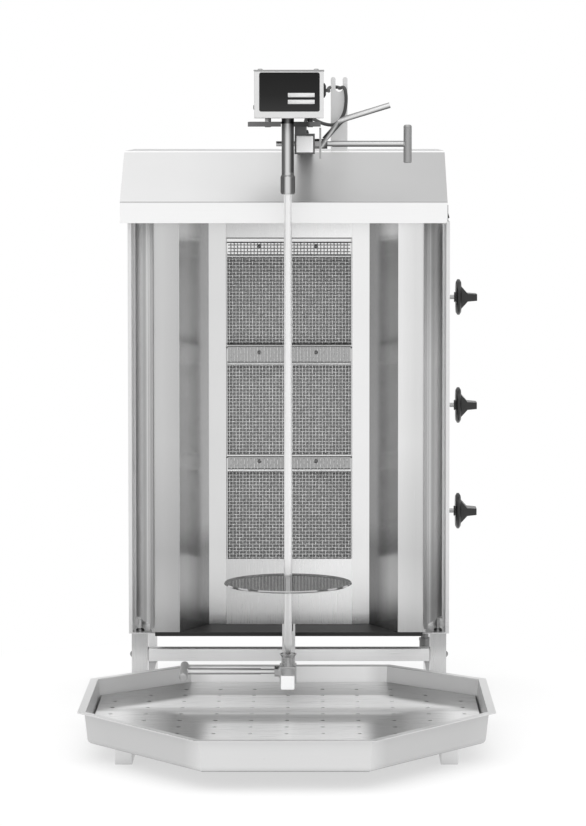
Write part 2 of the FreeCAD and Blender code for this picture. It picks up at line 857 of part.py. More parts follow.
def carriage_sleeve():
    """Sleeve that slides on the upper arm, with the motor plate's neck, clamp boss, stay and stud."""
    rear = carriage_front_depth + carriage_length
    size = arm_tube + 2 * loose_gap + 2 * slide_wall
    half = size / 2
    tube = square_tube_y(arm_x, arm_middle, size, slide_wall, carriage_front_depth, rear)
    neck = box(neck_left, neck_right, carriage_front_depth, rear, arm_middle + half,
               plate_top - plate_thickness)
    boss = hexagon(boss_radius, boss_length, arm_x + half, carriage_middle, arm_middle, X_AXIS)
    stay_x = arm_x + half + boss_length
    stay = box(stay_x, stay_x + stay_plate, carriage_middle - stay_width / 2,
               carriage_middle + stay_width / 2, stay_bottom, stay_top)
    stud = rod(screw_radius, stud_reach, arm_x - half - stud_reach, carriage_middle, arm_middle, X_AXIS)
    whole = fused([tube, neck, boss, stay, stud])
    hole = rod(screw_radius + running_gap, slide_wall + boss_length + stay_plate + 2,
               arm_x + half - slide_wall - 1, carriage_middle, arm_middle, X_AXIS)
    return whole.cut(hole)


def standoff_places():
    """Middle points of the four stand-off bolts under the motor box."""
    for x in (box_centre_x - standoff_x, box_centre_x + standoff_x):
        for depth in (box_front + standoff_inset, box_front + box_depth - standoff_inset):
            yield x, depth


def motor_plate():
    """Plate with turned-down edges, a slot for the drive sleeve and stand-off bolts with nuts."""
    low = plate_top - plate_thickness
    plate = box(plate_left, plate_right, plate_front_depth, plate_rear_depth, low, plate_top)
    edge_low = plate_top - plate_flange
    front = box(plate_left, plate_right, plate_front_depth, plate_front_depth + plate_thickness,
                edge_low, low)
    left = box(plate_left, plate_left + plate_thickness, plate_front_depth, plate_rear_depth, edge_low,
               low)
    right = box(plate_right - plate_thickness, plate_right, plate_front_depth, plate_rear_depth,
                edge_low, low)
    pieces = [plate, front, left, right]
    for x, depth in standoff_places():
        pieces.append(rod(standoff_radius, standoff + standoff_nut + plate_thickness, x, depth,
                          low - standoff_nut))
    whole = fused(pieces)
    half = drive_radius + loose_gap
    slot = box(-half, half, plate_front_depth - 1, spit_depth, plate_top - 2 * plate_flange,
               plate_top + plate_flange)
    return whole.cut(slot).cut(rod(half, 3 * plate_flange, 0, spit_depth, plate_top - 2 * plate_flange))


def motor_box():
    """Open-topped box over the gear motor."""
    rear = box_front + box_depth
    top = box_bottom + box_height
    shell = box(box_left, box_right, box_front, rear, box_bottom, top)
    shell = shell.cut(box(box_left + sheet, box_right - sheet, box_front + sheet, rear - sheet,
                          box_bottom + sheet, top + 1))
    shell = shell.cut(rod(drive_radius + loose_gap, 3 * sheet, 0, spit_depth, box_bottom - sheet))
    return shell.cut(rod(lead_radius + loose_gap, 3 * sheet, box_right - 2 * sheet, grommet_depth,
                         grommet_height, X_AXIS))


def motor_box_lid():
    """Flat lid with a lip that drops inside the box."""
    rear = box_front + box_depth
    top = box_bottom + box_height
    lid = box(box_left - lid_overhang, box_right + lid_overhang, box_front - lid_overhang,
              rear + lid_overhang, top, top + lid_thickness)
    inset = sheet + seat_gap
    lip = box(box_left + inset, box_right - inset, box_front + inset, rear - inset, top - 6, top)
    lip = lip.cut(box(box_left + inset + sheet, box_right - inset - sheet, box_front + inset + sheet,
                      rear - inset - sheet, top - 7, top))
    return lid.fuse(lip)


def gear_motor():
    """Closed gear motor block with a bored output for the drive sleeve's spigot."""
    floor = box_bottom + sheet
    half = motor_width / 2
    d0 = spit_depth - motor_length / 2
    block = box(-half, half, d0, d0 + motor_length, floor, floor + motor_height * 0.55)
    can = rod(motor_height * 0.36, motor_length, 0, d0, floor + motor_height * 0.6, Y_AXIS)
    bore = rod(drive_spigot_radius + running_gap, drive_spigot + loose_gap, 0, spit_depth, floor - 1)
    return fused([block, can]).cut(bore)


def drive_sleeve():
    """Turning sleeve under the motor: spigot, long socket and the thicker coupling at its foot."""
    coupling_bottom = drive_bottom - coupling_length
    top = box_bottom + sheet - loose_gap
    spigot_top = box_bottom + sheet - 1 + drive_spigot
    bore = spit_radius + sliding_gap
    return turned([(bore, coupling_bottom), (coupling_radius - 1.5, coupling_bottom),
                   (coupling_radius, coupling_bottom + 2.5), (coupling_radius, drive_bottom - 3),
                   (drive_radius, drive_bottom), (drive_radius, top), (drive_spigot_radius, top),
                   (drive_spigot_radius, spigot_top), (0, spigot_top),
                   (0, coupling_bottom + drive_socket), (bore, coupling_bottom + drive_socket)],
                  0, spit_depth, 0)


def handle(x_screw, x_shaft, x_handle, depth, z, tilt):
    """Clamp screw along X: thin threaded end, thicker shaft and a T-bar across its outer end."""
    screw = rod(screw_radius, abs(x_shaft - x_screw), min(x_screw, x_shaft), depth, z, X_AXIS)
    shaft = rod(shaft_radius, abs(x_handle - x_shaft), min(x_handle, x_shaft), depth, z, X_AXIS)
    half = handle_length / 2
    chamfer = 1.3
    bar = turned([(0, -half), (handle_radius - chamfer, -half), (handle_radius, chamfer - half),
                  (handle_radius, half - 2 * chamfer), (handle_radius - 0.7 * chamfer, half - 0.7 * chamfer),
                  (handle_radius - 2 * chamfer, half), (0, half)], x_handle, depth, z)
    bar.rotate(Vec(x_handle, at(depth), z), X_AXIS, tilt)
    return fused([screw, shaft, bar])


def upper_clamp():
    """Clamp screw on the carriage's right, its tip just off the arm."""
    tip = arm_x + arm_tube / 2 + loose_gap
    return handle(tip, upper_stub_end, upper_handle_x, carriage_middle, arm_middle, 0)


def bent_lever():
    """Bent round lever on a ring that turns on the upper clamp screw."""
    start = arm_x + arm_tube / 2 + loose_gap + slide_wall + boss_length + stay_plate + loose_gap
    ring = rod(boss_radius, lever_boss, start, carriage_middle, arm_middle, X_AXIS)
    middle = start + lever_boss / 2
    offsets = ((0, lever_foot_rise), (lever_knee_reach, lever_knee_rise), (lever_tip_reach, lever_tip_rise))
    points = [(middle + x, at(carriage_middle), arm_middle + z) for x, z in offsets]
    bar = pipe(points, (lever_bend,), lever_radius)
    whole = ring.fuse(bar)
    return whole.cut(rod(screw_radius + running_gap, lever_boss + 4 * lever_radius, start - 1,
                         carriage_middle, arm_middle, X_AXIS)).removeSplitter()


# Spit


def spit():
    """Round bar with a pointed tip that stands in the cup."""
    tip = cross_middle + cross_slide_half() + cup_floor + loose_gap
    return turned([(0, tip), (spit_tip_radius - 0.5, tip), (spit_tip_radius, tip + 1),
                   (spit_tip_radius, tip + spit_point), (spit_radius, tip + spit_point + spit_taper),
                   (spit_radius, spit_top - 2), (spit_radius - 2, spit_top), (0, spit_top)],
                  0, spit_depth, 0)


def meat_disc():
    """Round disc with a shallow turned-up rim and a collar that slides on the spit."""
    low = disc_height - disc_thickness / 2
    high = disc_height + disc_thickness / 2
    bore = spit_radius + sliding_gap
    return turned([(bore, disc_height - collar_below), (collar_radius, disc_height - collar_below),
                   (collar_radius, low), (disc_radius - disc_rim, low),
                   (disc_radius, low + disc_rim / 2), (disc_radius - 1, high + disc_rim / 2),
                   (disc_radius - disc_rim - 1, high), (collar_radius, high),
                   (collar_radius, disc_height + collar_above), (bore, disc_height + collar_above)],
                  0, spit_depth, 0)


# Lower arm


def cross_slide_half():
    """Half the outer height of the lower slider."""
    return lower_arm_tube / 2 + loose_gap + lower_slide_wall


def lower_arm():
    """Square tube from the crossbar, with an upright strap whose notch can hold the spit."""
    start = (frame_tube - cross_tube) / 2
    tube = square_tube_y(0, cross_middle, lower_arm_tube, cross_wall, lower_arm_front_depth, start)
    half = lower_arm_tube / 2
    top = cross_middle + half
    strap = box(-half, half, rest_depth, rest_depth + rest_thickness, top, top + rest_height)
    notch = rest_notch_width / 2
    cut_low = top + rest_height - rest_notch_depth
    strap = strap.cut(box(-notch, notch, rest_depth - 1, rest_depth + rest_thickness + 1, cut_low,
                          top + rest_height + 1))
    return tube.fuse(strap)


def lower_slider():
    """Sleeve on the lower arm with a boss for its clamp screw on the left."""
    half = cross_slide_half()
    rear = slider_front_depth + slider_length
    tube = square_tube_y(0, cross_middle, 2 * half, lower_slide_wall, slider_front_depth, rear)
    outer = -half - washer_thickness - nut_length
    washer = rod(washer_radius, washer_thickness, -half - washer_thickness, slider_middle, clamp_height,
                 X_AXIS)
    nut = hexagon(nut_radius, nut_length, outer, slider_middle, clamp_height, X_AXIS)
    whole = fused([tube, washer, nut])
    return whole.cut(rod(screw_radius + running_gap, -half - outer + lower_slide_wall + 1, outer - 1,
                         slider_middle, clamp_height, X_AXIS))


def spit_cup():
    """Cup bearing on the slider, flared at its rim, with a coned floor."""
    top = cup_height
    return turned([(0, 0), (cup_radius, 0), (cup_radius, top - cup_flare),
                   (cup_rim_radius, top - 1), (cup_rim_radius, top), (cup_rim_radius - 1.5, top),
                   (cup_bore, top - cup_flare), (cup_bore, cup_floor + 4),
                   (spit_tip_radius + 1, cup_floor), (0, cup_floor)],
                  0, spit_depth, cross_middle + cross_slide_half())


def lower_clamp():
    """Clamp screw on the slider's left, its tip just off the lower arm."""
    tip = -lower_arm_tube / 2 - loose_gap
    return handle(tip, lower_stub_end, lower_handle_x, slider_middle, clamp_height,
                  90 + lower_handle_tilt)


# Drip tray


def tray_outline():
    """Outer edge of the tray's rim, clockwise from above."""
    right = [(tray_back_half, tray_back_depth), (tray_half_width, tray_side_back_depth),
             (tray_half_width, tray_side_front_depth), (tray_front_half, -tray_reach)]
    left = [(-x, depth) for x, depth in reversed(right)]
    return right + left


def tray_tub(inset, floor, bend):
    """Tapered tub with the rim outline drawn in by an inset at the top and rounded at its foot."""
    top = polygon_inset(tray_outline(), inset)
    foot = polygon_inset(tray_outline(), inset + tray_taper)
    wires = []
    for ring, z in ((foot, floor), (top, tray_rim)):
        corners = [Vec(x, at(depth), z) for x, depth in ring]
        wires.append(Part.makePolygon(corners + corners[:1]))
    tub = Part.makeLoft(wires, True, True)
    edges = [e for e in tub.Edges if abs(e.BoundBox.ZMax - floor) < 0.01]
    return tub.makeFillet(bend, edges)


def drip_tray():
    """Eight-sided pan with tapered walls and a flat lip turned outwards."""
    outside = tray_tub(tray_lip, tray_floor, tray_bend)
    inside = tray_tub(tray_lip + sheet, tray_floor + sheet, tray_bend - sheet)
    lip = prism(tray_outline(), tray_rim - sheet, tray_rim)
    lip = lip.cut(prism(polygon_inset(tray_outline(), tray_lip + sheet), tray_rim - 2 * sheet,
                        tray_rim + sheet))
    return outside.cut(inside).fuse(lip).removeSplitter()


def perforated_plate():
    """Flat plate on two long legs, with a grid of drain holes that keeps off its edges."""
    outline = polygon_inset(tray_outline(), tray_lip + sheet + grate_gap)
    plate = prism(outline, grate_height - sheet, grate_height)
    holes = []
    border = polygon_inset(outline, grate_edge)
    for column in range(grate_columns):
        x = (column - (grate_columns - 1) / 2) * grate_pitch
        for row in range(grate_rows):
            depth = grate_first_row - row * grate_pitch
            if inside_polygon(x, depth, border):
                holes.append(rod(grate_hole, 3 * sheet, x, depth, grate_height - 2 * sheet))
    plate = plate.cut(Part.makeCompound(holes))
    floor = tray_floor + sheet
    pieces = [plate]
    for x in (-grate_leg_x, grate_leg_x - sheet):
        pieces.append(box(x, x + sheet, tray_side_front_depth + grate_edge,
                          tray_side_back_depth - grate_edge, floor, grate_height - sheet))
    return fused(pieces)


def inside_polygon(x, depth, ring):
    """Whether a point lies within a convex outline given clockwise from above."""
    for (x0, d0), (x1, d1) in zip(ring, ring[1:] + ring[:1]):
        if (x1 - x0) * (depth - d0) - (d1 - d0) * (x - x0) > 0:
            return False
    return True


# Fork post and motor lead


def fork_post():
    """Bent strap on the hood: a foot, a tall upright and two round-ended prongs."""
    half = fork_width / 2
    prong = (fork_width - notch_width) / 2
    top = fork_top - prong / 2
    strap = box(fork_x - half, fork_x + half, fork_depth, fork_depth + fork_sheet, hood_top, top)
    for x in (fork_x - half + prong / 2, fork_x + half - prong / 2):
        strap = strap.fuse(rod(prong / 2, fork_sheet, x, fork_depth, top, Y_AXIS))
    low = fork_top - notch_length + notch_width / 2
    notch = box(fork_x - notch_width / 2, fork_x + notch_width / 2, fork_depth - 1,
                fork_depth + fork_sheet + 1, low, fork_top + 1)
    notch = notch.fuse(rod(notch_width / 2, fork_sheet + 2, fork_x, fork_depth - 1, low, Y_AXIS))
    foot = box(fork_x - half, fork_x + half, fork_depth + fork_sheet, fork_depth + fork_foot, hood_top,
               hood_top + fork_sheet)
    return strap.cut(notch).fuse(foot).removeSplitter()


def box_grommet():
    """Round grommet on the motor box's right side."""
    ring = turned([(0, 0), (grommet_radius, 0), (grommet_radius, 1.5),
                   (grommet_radius - 4, grommet_thickness), (0, grommet_thickness)],
                  box_right, grommet_depth, grommet_height, X_AXIS)
    return ring.cut(rod(lead_radius + loose_gap, grommet_thickness + 2, box_right - 1, grommet_depth,
                        grommet_height, X_AXIS))


def arm_gland():
    """Small gland on the upper arm's top face, where the lead goes in."""
    top = hood_top + arm_tube
    return turned([(0, 0), (gland_radius, 0), (gland_radius, gland_height / 2),
                   (gland_radius - 1.5, gland_height), (0, gland_height)],
                  arm_x, gland_depth, top)


def lead_route():
    """Corners of the motor lead's path, from the box, through the fork and into the gland."""
    beside = fork_x - fork_width / 2 - lead_radius - lead_beside
    behind = fork_depth + fork_sheet + lead_behind
    ahead = fork_depth - lead_ahead
    arm_top = hood_top + arm_tube
    notch_floor = fork_top - notch_length
    drop = notch_floor - arm_top
    across = fork_x - arm_x
    loop = arm_top + lead_dip
    corners = [(box_right, grommet_depth, grommet_height),
               (box_right + lead_stub, grommet_depth, grommet_height),
               (beside, (grommet_depth + fork_depth) / 2, notch_floor),
               (beside, behind, notch_floor + lead_over),
               (fork_x, behind, notch_floor + lead_over),
               (fork_x, fork_depth - fork_width / 2, notch_floor + 1.6 * lead_radius),
               (fork_x + 0.9 * lead_swing, ahead + 2 * lead_radius, loop + 0.9 * drop),
               (fork_x + 1.2 * lead_swing, ahead, loop + 0.6 * drop),
               (fork_x + 0.8 * lead_swing, ahead - lead_radius, loop + 0.24 * drop),
               (arm_x + 0.89 * across, ahead, loop),
               (arm_x + 0.51 * across, ahead + 0.2 * behind, loop + 0.04 * drop),
               (arm_x + 0.15 * across, gland_depth - 0.18 * behind, loop + 0.2 * drop),
               (arm_x, gland_depth, loop + 0.17 * drop),
               (arm_x, gland_depth, arm_top + gland_height)]
    return [(x, at(depth), z) for x, depth, z in corners]


def motor_lead():
    """Lead held at both ends and in the fork's notch."""
    return pipe(lead_route(), lead_bends, lead_radius)


def both_sides(node, right):
    """A piece on the right and its mirror image on the left, as two nodes."""
    return {node + "_right": right, node + "_left": mirrored(right)}


def build():
    """Every node of the grill and its shape."""
    rear_post_depth = frame_depth - frame_tube
    cross_places = (frame_tube / 2, frame_depth - frame_tube / 2)
    nodes = {}
    nodes.update(both_sides("base_rail", base_rail()))
    nodes.update(both_sides("front_post", post(0, True)))
    rear_post = post(rear_post_depth, False)
    nodes["rear_posts"] = Part.makeCompound([rear_post, mirrored(rear_post)])
    nodes["crossbars"] = Part.makeCompound([crossbar(middle) for middle in cross_places])
    bolts = [frame_bolt(middle) for middle in cross_places]
    nodes["frame_bolts"] = Part.makeCompound(bolts + [mirrored(bolt) for bolt in bolts])
    nodes["hinge_bushes"] = Part.makeCompound([hinge_bush(), mirrored(hinge_bush())])
    nodes["base_pan"] = base_pan()
    nodes["side_panel_right"] = side_panel(True)
    nodes["side_panel_left"] = mirrored(side_panel(False))
    nodes["back_panel"] = back_panel()
    nodes.update(both_sides("reflector", reflector()))
    nodes["burner_panel"] = burner_panel()
    plaques = []
    meshes = []
    for i in range(burner_count):
        nodes["burner_housing_%d" % (i + 1)] = burner_housing(i)
        plaques.append(burner_slab(i, plaque_recess, plaque_thickness))
        meshes.append(burner_slab(i, mesh_recess, mesh_thickness))
    nodes["burner_plaques"] = Part.makeCompound(plaques)
    nodes["burner_meshes"] = Part.makeCompound(meshes)
    nodes["gas_manifold"] = manifold()
    nodes["gas_inlet"] = gas_inlet()
    nodes["gas_valves"] = Part.makeCompound([gas_valve(z) for z in knob_heights])
    nodes["burner_feed_pipes"] = Part.makeCompound([feed_pipe(i) for i in range(burner_count)])
    for i, z in enumerate(knob_heights):
        nodes["valve_core_%d" % (i + 1)] = valve_core(z)
        nodes["spindle_%d" % (i + 1)] = spindle(z)
        nodes["knob_%d" % (i + 1)] = knob(z)
    nodes["hood"] = hood()
    nodes["switch_bezel"] = switch_bezel()
    nodes["switch_rocker"] = switch_rocker()
    nodes.update(both_sides("wing", wing()))
    nodes["upper_arm"] = upper_arm()
    nodes["arm_caps"] = Part.makeCompound([
        end_cap(arm_x, arm_middle, arm_tube, arm_wall, arm_front_depth),
        end_cap(0, cross_middle, lower_arm_tube, cross_wall, lower_arm_front_depth)])
    nodes["carriage_sleeve"] = carriage_sleeve()
    nodes["motor_plate"] = motor_plate()
    nodes["motor_box"] = motor_box()
    nodes["motor_box_lid"] = motor_box_lid()
    nodes["gear_motor"] = gear_motor()
    nodes["drive_sleeve"] = drive_sleeve()
    nodes["upper_clamp_handle"] = upper_clamp()
    nodes["bent_lever"] = bent_lever()
    nodes["spit"] = spit()
    nodes["meat_disc"] = meat_disc()
    nodes["lower_arm"] = lower_arm()
    nodes["lower_slider"] = lower_slider()
    nodes["spit_cup"] = spit_cup()
    nodes["lower_clamp_handle"] = lower_clamp()
    nodes["drip_tray"] = drip_tray()
    nodes["perforated_plate"] = perforated_plate()
    nodes["fork_post"] = fork_post()
    nodes["box_grommet"] = box_grommet()
    nodes["arm_gland"] = arm_gland()
    nodes["motor_lead"] = motor_lead()
    return nodes


def main():
    """Write one file for each node and print what was made."""
    os.makedirs("parts", exist_ok=True)
    nodes = build()
    whole = FreeCAD.BoundBox()
    for node, shape in sorted(nodes.items()):
        shape.exportStep("parts/%s.step" % node)
        whole.add(shape.BoundBox)
        state = "" if shape.isValid() else "  NOT VALID"
        print("%-22s solids %d  volume %10.0f%s" % (node, len(shape.Solids), shape.Volume, state))
    route = round_path(lead_route(), lead_bends)
    section = math.pi * lead_radius ** 2
    print("lead length %.1f, volume over section %.1f" % (route.Length,
                                                        nodes["motor_lead"].Volume / section))
    print("nodes %d" % len(nodes))
    print("X %.1f %.1f  Y %.1f %.1f  Z %.1f %.1f" % (whole.XMin, whole.XMax, whole.YMin, whole.YMax,
                                                    whole.ZMin, whole.ZMax))


main()
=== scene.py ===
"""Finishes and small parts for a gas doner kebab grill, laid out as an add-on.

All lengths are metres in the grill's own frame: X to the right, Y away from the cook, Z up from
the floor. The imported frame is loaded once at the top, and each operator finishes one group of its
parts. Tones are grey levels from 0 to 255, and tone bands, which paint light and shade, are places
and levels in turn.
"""

import math

import bmesh
import bpy
import numpy as np
from bpy.props import FloatProperty, FloatVectorProperty, IntProperty, PointerProperty
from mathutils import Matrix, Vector


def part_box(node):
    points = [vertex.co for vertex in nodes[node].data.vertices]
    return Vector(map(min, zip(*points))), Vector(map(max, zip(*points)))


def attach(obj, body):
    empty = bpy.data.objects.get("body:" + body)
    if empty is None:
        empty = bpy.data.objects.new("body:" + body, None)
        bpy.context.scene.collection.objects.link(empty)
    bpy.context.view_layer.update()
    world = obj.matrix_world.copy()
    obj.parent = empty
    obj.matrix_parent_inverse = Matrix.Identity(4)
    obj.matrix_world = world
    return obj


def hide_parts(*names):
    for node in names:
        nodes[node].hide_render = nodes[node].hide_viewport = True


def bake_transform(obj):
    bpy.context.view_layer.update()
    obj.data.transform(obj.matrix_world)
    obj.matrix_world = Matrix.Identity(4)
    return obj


bl_info = {
    "name": "Gas Kebab Grill",
    "version": (1, 0, 0),
    "blender": (4, 5, 0),
    "location": "View3D > Sidebar > Grill",
    "description": "Finishes, woven burner meshes and small parts of a gas doner kebab grill",
    "category": "Object",
}

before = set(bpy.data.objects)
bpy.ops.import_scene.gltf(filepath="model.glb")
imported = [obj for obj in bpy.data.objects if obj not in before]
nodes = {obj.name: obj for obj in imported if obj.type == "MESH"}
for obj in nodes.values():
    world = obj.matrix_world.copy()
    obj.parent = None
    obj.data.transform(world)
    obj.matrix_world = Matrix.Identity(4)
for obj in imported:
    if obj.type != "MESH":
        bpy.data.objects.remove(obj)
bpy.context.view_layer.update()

X, Y, Z = range(3)
PLAIN = (1, 1, 1)
DISPLAY_GAMMA = 2.2
WELD_DISTANCE = 0.00002
MARK_DEPTH = 0.00006
GRIT_DEPTH = 0.0001
STEEP_AXIS = 0.9


def grey(level):
    """Linear colour of a display level from 0 to 255."""
    return ((level / 255.0) ** DISPLAY_GAMMA,) * 3


# Sizes and colours that a user would change


class SteelSettings(bpy.types.PropertyGroup):
    """Tones and brushing of the sheet steel."""

    fascia: FloatVectorProperty(name="Fascia", description="Colour of the hood's low front band",
                                subtype="COLOR", default=grey(245), min=0, max=1)
    sheet: FloatVectorProperty(name="Sheet", description="Colour of the side and back sheets",
                               subtype="COLOR", default=grey(222), min=0, max=1)
    tube: FloatVectorProperty(name="Tube", description="Colour of the arms' square tubes",
                              subtype="COLOR", default=grey(236), min=0, max=1)
    grain_length: FloatProperty(name="Grain length", description="How far a brush mark runs",
                                subtype="DISTANCE", default=0.06, min=0.005, max=0.5)
    grain_width: FloatProperty(name="Grain width", description="How wide a brush mark is",
                               subtype="DISTANCE", default=0.0007, min=0.0001, max=0.01)


class WeaveSettings(bpy.types.PropertyGroup):
    """The woven wire in front of the burners."""

    pitch: FloatProperty(name="Wire pitch", description="Distance from one wire to the next",
                         subtype="DISTANCE", default=0.0052, min=0.002, max=0.02)
    radius: FloatProperty(name="Wire radius", description="Half the wire's thickness",
                          subtype="DISTANCE", default=0.00078, min=0.0002, max=0.003)
    crimp: FloatProperty(name="Crimp", description="How far a wire bends over the ones it crosses",
                         subtype="DISTANCE", default=0.0009, min=0.0001, max=0.003)
    steps: IntProperty(name="Steps per pitch", description="Rings of each wire between crossings",
                       default=3, min=2, max=8)
    sides: IntProperty(name="Wire sides", description="Faces round each wire", default=5, min=3,
                       max=12)


class PlateSettings(bpy.types.PropertyGroup):
    """The bare plate on the motor box."""

    width: FloatProperty(name="Width", description="Width of the plate", subtype="DISTANCE",
                         default=0.0893, min=0.02, max=0.1)
    height: FloatProperty(name="Height", description="Height of the plate", subtype="DISTANCE",
                          default=0.0577, min=0.01, max=0.065)
    corner: FloatProperty(name="Corner", description="Radius of the plate's corners",
                          subtype="DISTANCE", default=0.003, min=0.0005, max=0.02)


class StageSettings(bpy.types.PropertyGroup):
    """Camera and light."""

    camera: FloatVectorProperty(name="Camera", description="Where the camera stands",
                                subtype="TRANSLATION", default=(0.042, -4.969, 0.929))
    lens: FloatProperty(name="Lens", description="Focal length in millimetres", default=144.42,
                        min=20, max=400)
    tilt: FloatProperty(name="Tilt", description="How far the camera looks down", subtype="ANGLE",
                        default=math.radians(3.2), min=0, max=1)
    shift: FloatVectorProperty(name="Shift", description="How far the picture moves on the lens",
                               size=2, default=(-0.0278, -0.1388))
    key_power: FloatProperty(name="Overhead light", description="Power of the soft light above",
                             default=10.0, min=0, max=500)
    front_power: FloatProperty(name="Front light", description="Power of the soft light in front",
                               default=26.0, min=0, max=500)
    fill: FloatProperty(name="Fill", description="Strength of the light from all round",
                        default=1.15, min=0, max=2)
    floor_light: FloatProperty(name="Floor light", description="Share of the floor that glows",
                               subtype="FACTOR", default=0.62, min=0, max=1)


# Meshes


def ring_quads(rings, sides):
    """Quads between rings of points, each from four neighbours and closed round the ring."""
    r = np.arange(rings - 1)[:, None] * sides
    c = np.arange(sides)[None, :]
    c2 = (c + 1) % sides
    return np.stack([r + c, r + c2, r + sides + c2, r + sides + c], -1).reshape(-1, 4)


def capped_faces(rings, sides):
    """Faces of a closed sleeve of rings, with one face on each end."""
    last = (rings - 1) * sides
    return [*ring_quads(rings, sides).tolist(), list(range(sides))[::-1],
            list(range(last, last + sides))]


def mesh_piece(name, points, faces, smooth=True):
    """Object with its place in its mesh, from points and faces."""
    points = np.asarray(points, float).reshape(-1, 3)
    mesh = bpy.data.meshes.new(name)
    mesh.from_pydata(points.tolist(), [], [tuple(int(i) for i in face) for face in faces])
    mesh.polygons.foreach_set("use_smooth", np.full(len(mesh.polygons), smooth))
    mesh.update()
    piece = bpy.data.objects.new(name, mesh)
    bpy.context.scene.collection.objects.link(piece)
    return piece


def join_pieces(name, parts):
    """One object from several (points, faces) pairs."""
    points, faces, start = [], [], 0
    for part_points, part_faces in parts:
        points.append(np.asarray(part_points, float).reshape(-1, 3))
        faces += [[i + start for i in face] for face in part_faces]
        start += len(points[-1])
    return mesh_piece(name, np.concatenate(points), faces)


def turned_part(profile, origin, axis, sides):
    """Points and faces of a closed surface of revolution.

    A point (r, d) of the profile is carried round to origin + d axis + r (side cos a + up sin a).
    """
    profile = np.array(profile, float)
    along = Vector(axis).normalized()
    helper = Vector((0, 0, 1)) if abs(along.z) < STEEP_AXIS else Vector((1, 0, 0))
    side = along.cross(helper).normalized()
    up = along.cross(side)
    angle = np.linspace(0, 2 * math.pi, sides, endpoint=False)[:, None]
    ring = np.cos(angle) * np.array(side) + np.sin(angle) * np.array(up)
    points = (np.array(origin) + profile[:, None, 1:2] * np.array(along)
              + profile[:, None, 0:1] * ring[None, :, :])
    return points, capped_faces(len(profile), sides)


def rounded_slab(width, height, depth, corner, centre, steps):
    """Upright slab facing -Y with round corners: an outline of quarter circles at two depths."""
    turn = np.linspace(0, math.pi / 2, steps)
    xs, zs = [], []
    for quarter, (sx, sz) in enumerate(((1, 1), (-1, 1), (-1, -1), (1, -1))):
        angle = turn + quarter * math.pi / 2
        xs.append(sx * (width / 2 - corner) + corner * np.cos(angle))
        zs.append(sz * (height / 2 - corner) + corner * np.sin(angle))
    x, z = np.concatenate(xs) + centre[X], np.concatenate(zs) + centre[Z]
    layers = [np.stack([x, np.full(len(x), y), z], -1) for y in (centre[Y] - depth, centre[Y])]
    return np.concatenate(layers), capped_faces(2, len(x))


def rolled_strip(name, x0, x1, y, low, high, bead, wall=0.0005):
    """Strip along X against a face at y: upright, with a half circle at its foot."""
    turn = np.linspace(-math.pi / 2, math.pi / 2, 9)
    out = np.concatenate([[0, wall], wall + bead * np.cos(turn)[::-1], [0]])
    z = np.concatenate([[high, high], low + bead + bead * np.sin(turn)[::-1], [low]])
    ends = [np.stack([np.full(len(out), x), y - out, z], -1) for x in (x0, x1)]
    return mesh_piece(name, np.concatenate(ends), capped_faces(2, len(out)), False)


def wires(origin, across, up, out, count, length, settings, phase):
    """Parallel crimped wires, each swinging in and out once between two crossings.

    The centre of wire n at length t is origin + n pitch across + t up + s crimp out, where s is
    sin(pi (t / pitch + phase)), with its sign changed for every other wire.
    """
    pitch = settings.pitch
    points = int(round(length / pitch * settings.steps)) + 1
    t = np.linspace(0, length, points)
    swing = settings.crimp * np.sin(math.pi * (t / pitch + phase))
    index = np.arange(count)
    sign = np.where(index % 2 == 0, 1.0, -1.0)
    angle = np.linspace(0, 2 * math.pi, settings.sides, endpoint=False)
    centre = (np.array(origin) + index[:, None, None] * pitch * np.array(across)
              + t[None, :, None] * np.array(up)
              + (sign[:, None] * swing[None, :])[:, :, None] * np.array(out))
    ring = settings.radius * (np.cos(angle)[:, None] * np.array(across)
                              + np.sin(angle)[:, None] * np.array(out))
    grid = centre[:, :, None, :] + ring[None, None, :, :]
    starts = index * points * settings.sides
    faces = ring_quads(points, settings.sides)[None] + starts[:, None, None]
    return grid.reshape(-1, 3), faces.reshape(-1, 4)


def outward(piece):
    """Turns every face of a closed piece outwards."""
    bm = bmesh.new()
    bm.from_mesh(piece.data)
    bmesh.ops.recalc_face_normals(bm, faces=bm.faces)
    bm.to_mesh(piece.data)
    bm.free()
    return piece


def soften(width, *names, angle=35.0, segments=2):
    """Small rounding along the folded or cut edges of nodes, as modifiers on top of the mesh."""
    for name in names:
        nodes[name].modifiers.new("Weld", "WELD").merge_threshold = WELD_DISTANCE
        bevel = nodes[name].modifiers.new("Edge", "BEVEL")
        bevel.width = width
        bevel.segments = segments
        bevel.limit_method = "ANGLE"
        bevel.angle_limit = math.radians(angle)
        bevel.use_clamp_overlap = True


# Shader nodes and groups


def feed(tree, socket, value):
    """Sets an input from another node's output, or from a plain colour, vector or number."""
    if isinstance(value, bpy.types.NodeSocket):
        tree.links.new(value, socket)
    elif socket.type == "RGBA":
        socket.default_value = (*value, 1)
    else:
        socket.default_value = value


def add_node(tree, kind, inputs, **settings):
    """Shader node of a kind with its settings, its inputs fed by index or by name."""
    node = tree.nodes.new("ShaderNode" + kind)
    for key, value in settings.items():
        setattr(node, key, value)
    for key, value in inputs.items():
        feed(tree, node.inputs[key], value)
    return node


def math_node(tree, operation, first, second, clamp=False):
    """Result of a math node fed by sockets or numbers."""
    return add_node(tree, "Math", {0: first, 1: second}, operation=operation,
                    use_clamp=clamp).outputs[0]


def mix_colours(tree, share, first, second, blend="MIX"):
    """Mix of two colours, each a socket or a plain colour."""
    return add_node(tree, "Mix", {0: share, 6: first, 7: second}, data_type="RGBA",
                    blend_type=blend).outputs[2]


def multiply_colour(tree, first, second):
    """Product of two colours."""
    return mix_colours(tree, 1.0, first, second, "MULTIPLY")


